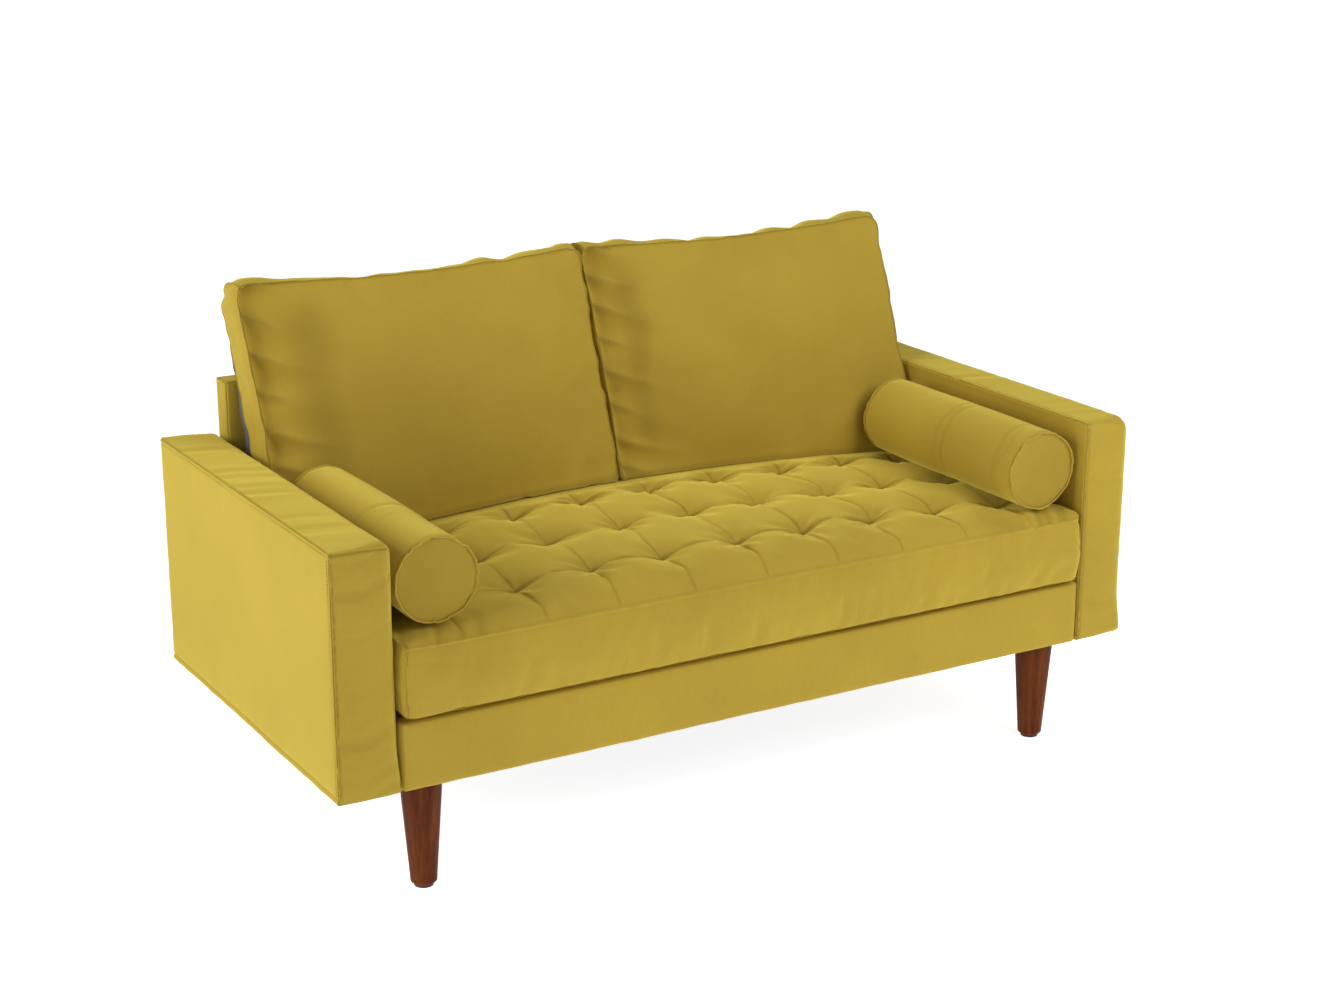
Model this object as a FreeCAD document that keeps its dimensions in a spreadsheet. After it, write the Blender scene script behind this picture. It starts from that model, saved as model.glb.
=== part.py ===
import FreeCAD, Part
import Sketcher
import math
import os
import re

# A two-seat upholstered sofa: padded timber frame on four turned wooden legs, one tufted
# seat cushion, two leaning back cushions and two round bolsters.
# Frame: +Z up, front towards -Y, origin on the floor under the middle of the whole sofa.
# Every length is in millimetres.

DRIVING_DIMENSIONS = {
    # whole sofa
    "sofa_width": 1480,
    "sofa_depth": 724,
    "cushion_proud": 10,
    # legs
    "leg_top": 178,
    "leg_low_radius": 20.5,
    "leg_high_radius": 33,
    "leg_edge": 5,
    "leg_front_across": 585,
    "leg_back_across": 555,
    "leg_front": 301,
    "leg_back": 268,
    "glide_radius": 15,
    "glide_thick": 3,
    "hanger_radius": 4,
    "hanger_bore": 4.2,
    "hanger_low": 138,
    "hanger_high": 222,
    "tee_barrel": 5.4,
    "tee_flange": 11,
    "tee_sheet": 1.6,
    "tee_height": 12,
    # cloth and padding
    "cloth": 2,
    "dust_cloth": 1,
    "gap": 0.2,
    # arms
    "frame_low": 179,
    "arm_width": 103,
    "arm_high": 571,
    "arm_corner": 13,
    "arm_foam": 12,
    "hardboard": 3,
    "post_depth": 40,
    "arm_rail": 30,
    "arm_low_rail": 40,
    # seat base
    "rail_high": 290,
    "rail_thick": 25,
    "rail_foam": 8,
    "rail_corner": 8,
    "block_leg": 105,
    "block_high": 60,
    "spring_count": 9,
    "spring_pitch": 128,
    "wire_radius": 1.9,
    "wire_height": 271,
    "spring_bars": 24,
    "spring_half": 24,
    "clip_side": 10,
    "clip_length": 18,
    "deck_low": 277,
    "deck_pad": 17,
    # backrest
    "back_thick": 43,
    "back_high": 660,
    "back_foam": 8,
    "back_rail": 40,
    # seat cushion
    "seat_low": 297,
    "seat_side_high": 412,
    "seat_high": 445,
    "seat_half": 632,
    "seat_back": 313,
    "seat_edge_high": 405,
    "seat_shoulder": 38,
    "seat_shoulder_high": 432,
    "seat_crown_start": 105,
    "tuft_radius": 1.2,
    "tuft_hole": 1.5,
    "tuft_columns": 9,
    "tuft_rows": 4,
    "tuft_pitch_across": 132,
    "tuft_pitch_deep": 156,
    "tuft_front": 240,
    # back cushions
    "pillow_inner": 3,
    "pillow_outer": 630,
    "pillow_front_low": 102,
    "pillow_low": 402,
    "pillow_above_seat": 1.5,
    "pillow_front_high": 268,
    "pillow_high": 832,
    "pillow_rear_high": 343,
    "pillow_shoulder": 803,
    "pillow_rest": 312,
    "pillow_rest_high": 668,
    "pillow_rear_low": 303,
    # bolsters
    "bolster_radius": 70,
    "bolster_across": 562,
    "bolster_height": 494,
    "bolster_front": 332,
    "bolster_rear": 98,
    # arm bolts
    "bolt_radius": 4,
    "bolt_bore": 4.4,
    "bolt_head": 9,
    "bolt_head_thick": 4,
    "bolt_reach": 88,
    "bolt_height": 201,
    "bolt_front": 190,
    "bolt_back": 160,
}

SHEET = "dims"
SIDES = {"left": -1, "right": 1}
ROUGH_OUTLINE = 100  # how far from its origin a sketch's corners start before they are driven
SHARP_CORNERS = 2  # an offset's joins: faces run on until they meet
CROWN = "(seat_high - seat_side_high)"
CROWN_RADIUS = "(seat_half*seat_half + %s*%s) / (2*%s)" % (CROWN, CROWN, CROWN)
TIE_LENGTH = "seat_side_high - seat_low - 3*cloth"
LENGTHWISE = {"axis": (1, 0, 0), "turn": -90}  # turns a cylinder to point along +Y

doc = FreeCAD.newDocument("sofa")
sub_parts = []


def write_sheet():
    """Put every driving dimension in the sheet, one row each, with its alias."""
    sheet = doc.addObject("Spreadsheet::Sheet", SHEET)
    for row, (alias, value) in enumerate(DRIVING_DIMENSIONS.items(), 1):
        sheet.set("A%d" % row, alias)
        sheet.set("B%d" % row, str(value))
        sheet.setAlias("B%d" % row, alias)
    doc.recompute()
    return sheet


sheet = write_sheet()


def size(alias):
    """The value of one driving dimension."""
    return float(sheet.get(alias))


def formula(text):
    """Turn the plain words of a formula into references to the sheet."""
    return re.sub(r"[a-z][a-z_]+", lambda word: SHEET + "." + word.group(), str(text))


def bind(item, prop, text):
    """Drive one property of an object from the sheet."""
    item.setExpression(prop, formula(text))


def place(item, x=0, y=0, z=0):
    """Drive an object's place from the sheet."""
    for axis, text in (("x", x), ("y", y), ("z", z)):
        bind(item, "Placement.Base." + axis, text)


def keep(item, label):
    """Name a finished sub-part, which becomes one file."""
    item.Label = label
    sub_parts.append(item)
    return item


def span(low, high, side):
    """An interval measured out from the middle, on one side or mirrored to the other."""
    if side > 0:
        return low, high
    return "-(%s)" % high, "-(%s)" % low


# ---- Shapes that repeat ----

def block(name, x, y, z):
    """A box between pairs of formulas along each axis."""
    item = doc.addObject("Part::Box", name)
    for prop, (low, high) in (("Length", x), ("Width", y), ("Height", z)):
        bind(item, prop, "(%s) - (%s)" % (high, low))
    place(item, x[0], y[0], z[0])
    return item


def soft_block(name, x, y, z, radius, is_rounded):
    """A box whose chosen edges are rounded, as one body."""
    body = doc.addObject("PartDesign::Body", name)
    core = body.newObject("PartDesign::AdditiveBox", name + "_core")
    for prop, (low, high) in (("Length", x), ("Width", y), ("Height", z)):
        bind(core, prop, "(%s) - (%s)" % (high, low))
    doc.recompute()
    edges = ["Edge%d" % i for i, edge in enumerate(core.Shape.Edges, 1) if is_rounded(edge, core.Shape)]
    fillet = body.newObject("PartDesign::Fillet", name + "_round")
    fillet.Base = (core, edges)
    bind(fillet, "Radius", radius)
    body.Tip = fillet
    place(body, x[0], y[0], z[0])
    return body


def cylinder(name, radius, length, x, y, z, axis=None, turn=90):
    """A cylinder, along Z unless it is turned about another axis."""
    item = doc.addObject("Part::Cylinder", name)
    bind(item, "Radius", radius)
    bind(item, "Height", length)
    if axis:
        item.Placement = FreeCAD.Placement(FreeCAD.Vector(), FreeCAD.Rotation(FreeCAD.Vector(*axis), turn))
    place(item, x, y, z)
    return item


def group(name, items):
    """Several solids that stay apart in one object."""
    item = doc.addObject("Part::Compound", name)
    item.Links = items
    return item


def cut(name, base, tool):
    """One object less another."""
    item = doc.addObject("Part::Cut", name)
    item.Base = base
    item.Tool = tool
    return item


def common(name, base, tool):
    """What two objects share."""
    item = doc.addObject("Part::Common", name)
    item.Base = base
    item.Tool = tool
    return item


def outline(sketch, points):
    """Close a sketch through corners, each a pair of formulas measured from its origin."""
    count = len(points)
    starts = [
        FreeCAD.Vector(math.cos(turn), math.sin(turn)) * ROUGH_OUTLINE
        for turn in (math.tau * i / count for i in range(count))
    ]
    for i in range(count):
        sketch.addGeometry(Part.LineSegment(starts[i], starts[(i + 1) % count]), False)
    for i in range(count):
        sketch.addConstraint(Sketcher.Constraint("Coincident", i, 2, (i + 1) % count, 1))
    for i, point in enumerate(points):
        for kind, text, number in zip(("DistanceX", "DistanceY"), point, starts[i]):
            index = sketch.addConstraint(Sketcher.Constraint(kind, -1, 1, i, 1, number))
            bind(sketch, "Constraints[%d]" % index, text)


def new_sketch(body, name, plane):
    """A sketch on one of its own body's origin planes."""
    sketch = body.newObject("Sketcher::SketchObject", name)
    origin = [feature for feature in body.Origin.OriginFeatures if feature.Role == plane][0]
    sketch.AttachmentSupport = [(origin, "")]
    sketch.MapMode = "FlatFace"
    return sketch


def padded(name, plane, points, length):
    """A straight-sided solid: one outline pushed out along its plane's normal."""
    body = doc.addObject("PartDesign::Body", name)
    sketch = new_sketch(body, name + "_outline", plane)
    outline(sketch, points)
    pad = body.newObject("PartDesign::Pad", name + "_pad")
    pad.Profile = sketch
    bind(pad, "Length", length)
    body.Tip = pad
    return body


# ---- Places that several sub-parts share, as formulas ----

ARM_INNER = "sofa_width/2 - arm_width"
ARM_OUTER = "sofa_width/2"
FRONT = "-sofa_depth/2 + cushion_proud"
BACK = "sofa_depth/2"
RAIL_FACE = FRONT + " + cloth + rail_foam"
RAIL_REAR = RAIL_FACE + " + rail_thick"
BACK_FACE = BACK + " - back_thick"
REAR_RAIL_FACE = BACK_FACE + " - rail_thick"
TIMBER_LOW = "frame_low + cloth"
RAIL_TOP = "rail_high - cloth"
SIDE_RAIL_INNER = ARM_INNER + " - 1 - rail_thick"
BASE_HALF = ARM_INNER + " - 1"


def inset(interval, by):
    """An interval made smaller by the same amount at both ends."""
    low, high = interval
    return "%s + %s" % (low, by), "%s - %s" % (high, by)


# ---- Arms ----

def bolt_places(side):
    """Each arm bolt's name, and where its axis meets the inner face of the side rail."""
    across = SIDE_RAIL_INNER if side > 0 else "-(%s)" % SIDE_RAIL_INNER
    yield "front_bolt", (across, "-bolt_front", "bolt_height")
    yield "back_bolt", (across, "bolt_back", "bolt_height")


def outward(side):
    """The turn that points a cylinder along X, out from the middle of the sofa."""
    return {"axis": (0, 1, 0), "turn": 90 * side}


def arm_bolt_bores(side, name):
    """Clearance bores through one arm's inner side, one for each of its two bolts."""
    bores = [
        cylinder("%s_%s_bore" % (name, bolt), "bolt_bore", "bolt_reach + bolt_radius", *spot, **outward(side))
        for bolt, spot in bolt_places(side)
    ]
    return group(name + "_bores", bores)


def above_floor_edge(edge, shape):
    """Whether an edge is off the underside."""
    return edge.BoundBox.ZMax > shape.BoundBox.ZMin + 1


def front_long_edge(edge, shape):
    """Whether an edge runs from side to side along the front face."""
    return edge.BoundBox.YMax < shape.BoundBox.YMin + 1 and edge.BoundBox.XLength > 1


def top_long_edge(edge, shape):
    """Whether an edge runs from side to side along the top face."""
    return edge.BoundBox.ZMin > shape.BoundBox.ZMax - 1 and edge.BoundBox.XLength > 1


def make_arm(name, side):
    """One arm: cloth over foam over a boarded timber frame, and the base rail bolted to it."""
    bores = arm_bolt_bores(side, name)
    skin = ((ARM_INNER, ARM_OUTER), (FRONT, BACK), ("frame_low", "arm_high"))
    foam = (inset(skin[0], "cloth"), inset(skin[1], "cloth"), (TIMBER_LOW, "arm_high - cloth"))
    core = (inset(foam[0], "arm_foam"), inset(foam[1], "arm_foam"), (TIMBER_LOW, foam[2][1] + " - arm_foam"))
    inner_board = (core[0][0], core[0][0] + " + hardboard")
    outer_board = (core[0][1] + " - hardboard", core[0][1])
    timber = (inner_board[1], outer_board[0])
    front_post = (core[1][0], core[1][0] + " + post_depth")
    rear_post = (core[1][1] + " - post_depth", core[1][1])
    between = (front_post[1], rear_post[0])
    low_rail = (core[2][0], core[2][0] + " + arm_low_rail")
    top_rail = (core[2][1] + " - arm_rail", core[2][1])

    def piece(label, x, y, z, is_bored=False):
        whole = block("%s_%s_blank" % (name, label), span(*x, side), y, z)
        if is_bored:
            whole = cut("%s_%s_bored" % (name, label), whole, bores)
        return whole

    outer = soft_block(name + "_skin", span(*skin[0], side), *skin[1:], "arm_corner", above_floor_edge)
    hollow = span(*foam[0], side)
    inner = soft_block(name + "_hollow", hollow, *foam[1:], "arm_corner - cloth", above_floor_edge)
    cover = cut(name + "_skin_open", outer, inner)
    keep(cut(name + "_skin_bored", cover, bores), name + "_cover")
    padding = cut(name + "_foam_open", inner, piece("core", *core))
    keep(cut(name + "_foam_bored", padding, bores), name + "_foam")
    keep(piece("outside", outer_board, core[1], core[2]), name + "_outer_board")
    keep(piece("inside", inner_board, core[1], core[2], is_bored=True), name + "_inner_board")
    keep(piece("front", timber, front_post, core[2]), name + "_front_post")
    keep(piece("rear", timber, rear_post, core[2]), name + "_rear_post")
    keep(piece("top", timber, between, top_rail), name + "_top_rail")
    keep(piece("bottom", timber, between, low_rail, is_bored=True), name + "_bottom_rail")
    side_rail = (SIDE_RAIL_INNER, BASE_HALF)
    rail = piece("side", side_rail, (RAIL_REAR, REAR_RAIL_FACE), (TIMBER_LOW, RAIL_TOP), is_bored=True)
    keep(rail, name.replace("_arm", "_side_rail"))


def make_arm_bolts():
    """The bolts that hold each arm to the seat base, heads inside the base."""
    bolts = []
    for name, side in SIDES.items():
        for bolt, spot in bolt_places(side):
            tag = "%s_%s" % (name, bolt)
            shank = cylinder(tag + "_shank", "bolt_radius", "bolt_reach", *spot, **outward(side))
            head = cylinder(tag + "_head", "bolt_head", "bolt_head_thick", *spot, **outward(-side))
            whole = doc.addObject("Part::MultiFuse", tag)
            whole.Shapes = [shank, head]
            bolts.append(whole)
    keep(group("arm_bolts_group", bolts), "arm_bolts")


# ---- Seat base ----

def make_cross_rails():
    """The padded rail under the front of the seat, and the plain one behind it."""
    across = ("-(%s)" % BASE_HALF, BASE_HALF)
    inner = inset(across, "cloth")
    high = (TIMBER_LOW, RAIL_TOP)
    foam_deep = (FRONT + " + cloth", RAIL_FACE)
    outer = soft_block(
        "front_rail_skin", across, (FRONT, RAIL_REAR), ("frame_low", "rail_high"), "rail_corner", front_long_edge
    )
    hollow = block("front_rail_hollow", inner, (foam_deep[0], RAIL_REAR + " + cloth"), high)
    keep(cut("front_rail_skin_open", outer, hollow), "front_rail_cover")
    padding = soft_block(
        "front_rail_padding", inner, foam_deep, high, "rail_corner - cloth", front_long_edge
    )
    keep(padding, "front_rail_foam")
    keep(block("front_rail_blank", inner, (RAIL_FACE, RAIL_REAR), high), "front_rail")
    keep(block("rear_rail_blank", across, (REAR_RAIL_FACE, BACK_FACE), high), "rear_rail")


def leg_places():
    """Each leg's name and centre, as formulas."""
    for end, depth in (("front", "-leg_front"), ("back", "leg_back")):
        for name, side in SIDES.items():
            across = "leg_%s_across" % end
            yield "%s_%s" % (end, name), (across if side > 0 else "-" + across), depth


def make_corner_blocks():
    """Glued triangular blocks in the corners of the base, bored for the leg fittings."""
    bores = []
    for name, x, y in leg_places():
        bores.append(cylinder(name + "_nut_bore", "tee_barrel + gap", "block_high", x, y, TIMBER_LOW))
        bores.append(cylinder(name + "_nut_seat", "tee_flange + gap", "tee_sheet + gap", x, y, TIMBER_LOW))
    bores = group("corner_bores", bores)
    blocks = []
    corners = (
        ("-(%s)" % SIDE_RAIL_INNER, RAIL_REAR, 0),
        (SIDE_RAIL_INNER, RAIL_REAR, 90),
        (SIDE_RAIL_INNER, REAR_RAIL_FACE, 180),
        ("-(%s)" % SIDE_RAIL_INNER, REAR_RAIL_FACE, 270),
    )
    for i, (x, y, turn) in enumerate(corners, 1):
        name = "corner_block_%d" % i
        body = padded(name, "XY_Plane", (("0", "0"), ("block_leg", "0"), ("0", "block_leg")), "block_high")
        body.Placement = FreeCAD.Placement(FreeCAD.Vector(), FreeCAD.Rotation(FreeCAD.Vector(0, 0, 1), turn))
        place(body, x, y, TIMBER_LOW)
        blocks.append(cut(name + "_bored", body, bores))
    keep(group("corner_blocks_group", blocks), "corner_blocks")


def spring_columns():
    """How far each spring stands from the middle."""
    count = int(size("spring_count"))
    return [(i - (count - 1) / 2) * size("spring_pitch") for i in range(count)]


def base_numbers():
    """Where the inner faces of the front and rear rails stand, as numbers."""
    front = -size("sofa_depth") / 2 + size("cushion_proud")
    front += size("cloth") + size("rail_foam") + size("rail_thick")
    rear = size("sofa_depth") / 2 - size("back_thick") - size("rail_thick")
    return front, rear


def spring_path(across, front, rear):
    """One wavy spring's centre line: straight bars joined by half-round bends."""
    bars = int(size("spring_bars"))
    step = (rear - front) / (bars - 1)
    bend = step / 2
    reach = size("spring_half") - bend
    level = size("wire_height")
    edges = []
    way = 1
    for i in range(bars):
        depth = front + i * step
        start = FreeCAD.Vector(across - way * reach, depth, level)
        end = FreeCAD.Vector(across + way * reach, depth, level)
        edges.append(Part.LineSegment(start, end).toShape())
        if i < bars - 1:
            middle = FreeCAD.Vector(across + way * (reach + bend), depth + bend, level)
            turned = FreeCAD.Vector(across + way * reach, depth + step, level)
            edges.append(Part.Arc(end, middle, turned).toShape())
        way = -way
    return Part.Wire(edges)


def make_springs():
    """The wavy wire springs that run from front to back under the seat, and their clips."""
    front, rear = base_numbers()
    half_clip = size("clip_side") / 2
    first, last = front + half_clip, rear - half_clip
    springs = []
    for across in spring_columns():
        path = spring_path(across, first, last)
        start = path.Edges[0].Vertexes[0].Point
        ring = Part.Wire([Part.Circle(start, FreeCAD.Vector(1, 0, 0), size("wire_radius")).toShape()])
        springs.append(path.makePipeShell([ring], True, False))
    item = doc.addObject("Part::Feature", "seat_springs_part")
    item.Shape = Part.makeCompound(springs)
    keep(item, "seat_springs")

    clips = []
    side, length, level = size("clip_side"), size("clip_length"), size("wire_height")
    bore_radius = size("wire_radius") + size("gap")
    for across in spring_columns():
        for depth in (first, last):
            corner = FreeCAD.Vector(across - length / 2, depth - side / 2, level - side / 2)
            body = Part.makeBox(length, side, side, corner)
            start = FreeCAD.Vector(across - length, depth, level)
            bore = Part.makeCylinder(bore_radius, 2 * length, start, FreeCAD.Vector(1, 0, 0))
            clips.append(body.cut(bore))
    item = doc.addObject("Part::Feature", "spring_clips_part")
    item.Shape = Part.makeCompound(clips)
    keep(item, "spring_clips")


def make_deck():
    """The cloth and the thin pad that lie on the springs under the seat cushion."""
    across = inset(("-(%s)" % SIDE_RAIL_INNER, SIDE_RAIL_INNER), "gap")
    deep = inset((RAIL_REAR, REAR_RAIL_FACE), "gap")
    cloth_top = "deck_low + cloth"
    keep(block("deck_cloth_blank", across, deep, ("deck_low", cloth_top)), "deck_cloth")
    keep(block("deck_pad_blank", across, deep, (cloth_top, cloth_top + " + deck_pad")), "deck_pad")


def make_dust_cover():
    """The thin cloth stapled under the base, with a hole for each leg's bolt."""
    holes = [
        cylinder(name + "_cloth_hole", "hanger_bore + 1", "3*dust_cloth", x, y, "leg_top - dust_cloth")
        for name, x, y in leg_places()
    ]
    whole = block(
        "dust_cover_whole", inset(("-(%s)" % BASE_HALF, BASE_HALF), "arm_foam"),
        (FRONT + " + arm_foam", BACK + " - arm_foam"), ("leg_top", "leg_top + dust_cloth"),
    )
    keep(cut("dust_cover_part", whole, group("dust_cover_holes", holes)), "dust_cover")


# ---- Legs ----

def make_leg(name, x, y):
    """One tapered round leg, bored in its top for the hanger bolt."""
    body = doc.addObject("PartDesign::Body", name)
    sketch = new_sketch(body, name + "_outline", "XZ_Plane")
    outline(
        sketch,
        (
            ("0", "glide_thick"),
            ("leg_low_radius - leg_edge", "glide_thick"),
            ("leg_low_radius", "glide_thick + leg_edge"),
            ("leg_high_radius", "leg_top"),
            ("hanger_bore", "leg_top"),
            ("hanger_bore", "hanger_low - 1"),
            ("0", "hanger_low - 1"),
        ),
    )
    turned = body.newObject("PartDesign::Revolution", name + "_turned")
    turned.Profile = sketch
    turned.ReferenceAxis = (sketch, ["V_Axis"])
    turned.Angle = 360
    body.Tip = turned
    place(body, x, y)
    keep(body, name)


def make_legs():
    """The four legs with their bolts, nuts and glides."""
    bolts, nuts, glides = [], [], []
    hanger = "hanger_high - hanger_low"
    for name, x, y in leg_places():
        make_leg(name + "_leg", x, y)
        bolts.append(cylinder(name + "_hanger", "hanger_radius", hanger, x, y, "hanger_low"))
        barrel = cylinder(name + "_barrel", "tee_barrel", "tee_height", x, y, TIMBER_LOW)
        flange = cylinder(name + "_flange", "tee_flange", "tee_sheet", x, y, TIMBER_LOW)
        nut = doc.addObject("Part::MultiFuse", name + "_nut_blank")
        nut.Shapes = [barrel, flange]
        bore = cylinder(name + "_nut_thread", "hanger_bore", "2*tee_height", x, y, TIMBER_LOW + " - 1")
        nuts.append(cut(name + "_nut", nut, bore))
        glides.append(cylinder(name + "_glide", "glide_radius", "glide_thick", x, y, "0"))
    keep(group("hanger_bolts_group", bolts), "hanger_bolts")
    keep(group("tee_nuts_group", nuts), "leg_tee_nuts")
    keep(group("foot_glides_group", glides), "foot_glides")


# ---- Backrest ----

def make_backrest():
    """The upright panel between the arms: cloth, foam and board on a timber frame."""
    across = ("-(%s)" % BASE_HALF, BASE_HALF)
    inner = inset(across, "cloth")
    high = (TIMBER_LOW, "back_high - cloth")
    foam_deep = (BACK_FACE + " + cloth", BACK_FACE + " + cloth + back_foam")
    board_deep = (foam_deep[1], foam_deep[1] + " + hardboard")
    timber_deep = (board_deep[1], BACK + " - cloth")
    outer = soft_block(
        "back_skin", across, (BACK_FACE, BACK), ("frame_low", "back_high"), "rail_corner", top_long_edge
    )
    hollow = block("back_hollow", inner, (foam_deep[0], BACK + " + cloth"), high)
    keep(cut("back_cover_part", outer, hollow), "back_cover")
    keep(block("back_foam_part", inner, foam_deep, high), "back_foam")
    keep(block("back_board_part", inner, board_deep, high), "back_board")
    keep(block("back_rear_panel_part", inner, (timber_deep[1], BACK), high), "back_rear_panel")
    low_rail = (TIMBER_LOW, RAIL_TOP)
    top_rail = ("back_high - cloth - back_rail", "back_high - cloth")
    upright = (low_rail[1], top_rail[0])
    keep(block("back_bottom_rail_part", inner, timber_deep, low_rail), "back_bottom_rail")
    keep(block("back_top_rail_part", inner, timber_deep, top_rail), "back_top_rail")
    for name, side in SIDES.items():
        post = span(inner[1] + " - back_rail", inner[1], side)
        keep(block("back_%s_post_part" % name, post, timber_deep, upright), "back_%s_post" % name)
    middle = ("-back_rail/2", "back_rail/2")
    keep(block("back_middle_post_part", middle, timber_deep, upright), "back_middle_post")


# ---- Loose cushions ----

def tuft_places():
    """Where the seat's ties stand, as formulas, from the left front."""
    columns, rows = int(size("tuft_columns")), int(size("tuft_rows"))
    for row in range(rows):
        for column in range(columns):
            across = "(%g) * tuft_pitch_across" % (column - (columns - 1) / 2)
            yield "tuft_%d_%d" % (row + 1, column + 1), across, "-tuft_front + %d*tuft_pitch_deep" % row


def seat_arch(name, clear):
    """The wide cylinder whose top is the arch of the seat cushion, with room left over it."""
    axis_height = "seat_high - (%s)" % CROWN_RADIUS
    return cylinder(
        name, CROWN_RADIUS + " + " + clear, "sofa_depth", "0", "-sofa_depth/2", axis_height, **LENGTHWISE
    )


def shrunk(name, outer):
    """The space inside a cover: its outer shape less the thickness of the cloth."""
    item = doc.addObject("Part::Offset", name)
    item.Source = outer
    bind(item, "Value", "-cloth")
    item.Join = SHARP_CORNERS
    return item


def make_seat_cushion():
    """The one wide seat cushion: a tufted cover, its foam and its ties."""
    profile = (
        ("0", "seat_low"),
        ("0", "seat_edge_high"),
        ("seat_shoulder", "seat_shoulder_high"),
        ("seat_crown_start", "seat_high"),
        ("sofa_depth/2 + seat_back", "seat_high"),
        ("sofa_depth/2 + seat_back", "seat_low"),
    )
    body = padded("seat_profile", "YZ_Plane", profile, "2*seat_half")
    place(body, "-seat_half", "-sofa_depth/2")
    outer = common("seat_skin", body, seat_arch("seat_crown", "0"))
    inner = shrunk("seat_hollow", outer)
    holes, ties = [], []
    for name, x, y in tuft_places():
        holes.append(cylinder(name + "_hole", "tuft_hole", "seat_high", x, y, "seat_low - cloth"))
        ties.append(cylinder(name + "_tie", "tuft_radius", TIE_LENGTH, x, y, "seat_low + cloth"))
    keep(cut("seat_foam_part", inner, group("tuft_holes", holes)), "seat_cushion_foam")
    keep(cut("seat_cover_part", outer, inner), "seat_cushion_cover")
    keep(group("seat_ties_group", ties), "seat_tuft_ties")


def make_back_cushion(name, side):
    """One leaning back cushion: velvet front and sides, plain lining behind, loose filling."""
    profile = (
        ("pillow_front_low", "pillow_low"),
        ("pillow_front_high", "pillow_high"),
        ("pillow_rear_high", "pillow_shoulder"),
        ("pillow_rest", "pillow_rest_high"),
        ("pillow_rear_low", "pillow_low"),
    )
    behind = (
        ("pillow_rear_low - 2*cloth", "pillow_low - cloth"),
        ("pillow_rest - 2*cloth", "pillow_rest_high"),
        ("pillow_rear_high - 2*cloth", "pillow_high"),
        ("pillow_rear_high + 2*cloth", "pillow_high"),
        ("pillow_rear_high + 2*cloth", "pillow_low - cloth"),
    )
    low, high = span("pillow_inner", "pillow_outer", side)
    whole = padded(name + "_outline_body", "YZ_Plane", profile, "pillow_outer - pillow_inner")
    place(whole, low)
    outer = cut(name + "_skin", whole, seat_arch(name + "_rest", "pillow_above_seat"))
    region = padded(name + "_behind", "YZ_Plane", behind, "pillow_outer")
    place(region, low + " - cloth")
    fill = shrunk(name + "_fill_part", outer)
    shell = cut(name + "_shell", outer, fill)
    keep(cut(name + "_cover_part", shell, region), name + "_cover")
    keep(common(name + "_lining_part", shell, region), name + "_lining")
    keep(fill, name + "_fill")


def make_bolster(name, side):
    """One round bolster that lies along the arm: a tube of cloth, two end discs, filling."""
    x = "bolster_across" if side > 0 else "-bolster_across"
    front = "-bolster_front"
    whole = "bolster_front + bolster_rear"
    hollow = "bolster_radius - cloth"

    def round_piece(label, radius, length, start):
        return cylinder(
            "%s_%s_blank" % (name, label), radius, length, x, start, "bolster_height", **LENGTHWISE
        )

    outer = round_piece("skin", "bolster_radius", whole, front)
    inner = round_piece("hollow", hollow, whole, front)
    keep(cut(name + "_skin_open", outer, inner), name + "_cover")
    caps = [
        round_piece("front_cap", hollow + " - gap/2", "cloth", front),
        round_piece("rear_cap", hollow + " - gap/2", "cloth", "bolster_rear - cloth"),
    ]
    keep(group(name + "_caps_group", caps), name + "_end_caps")
    fill = round_piece("filling", hollow + " - gap", whole + " - 2*cloth", front + " + cloth")
    keep(fill, name + "_fill")


# ---- Whole sofa ----

def make_sofa():
    for name, side in SIDES.items():
        make_arm(name + "_arm", side)
    make_arm_bolts()
    make_cross_rails()
    make_corner_blocks()
    make_springs()
    make_deck()
    make_dust_cover()
    make_legs()
    make_backrest()
    make_seat_cushion()
    for name, side in SIDES.items():
        make_back_cushion(name + "_back_cushion", side)
        make_bolster(name + "_bolster", side)


def check_objects():
    """Stop if any object failed, or any sub-part has no sound solid."""
    for item in doc.Objects:
        if "Invalid" in item.State or "Error" in item.State:
            raise SystemExit("failed object: %s %s" % (item.Name, item.State))
    labels = [item.Label for item in sub_parts]
    if len(set(labels)) != len(labels):
        raise SystemExit("two sub-parts share a label")
    for item in sub_parts:
        shape = item.Shape
        if shape.isNull() or not shape.isValid() or not shape.Solids or shape.Volume <= 0:
            raise SystemExit("bad shape: %s" % item.Label)


def write_parts():
    os.makedirs("parts", exist_ok=True)
    for item in sub_parts:
        item.Shape.exportStep("parts/%s.step" % item.Label)


make_sofa()
doc.recompute()
check_objects()
write_parts()
box = Part.makeCompound([item.Shape for item in sub_parts]).BoundBox
print("%d sub-parts, box %s" % (len(sub_parts), box))
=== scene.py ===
"""A two-seat sofa in mustard velvet on round wooden legs, dressed over its CAD frame."""

import math

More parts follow.
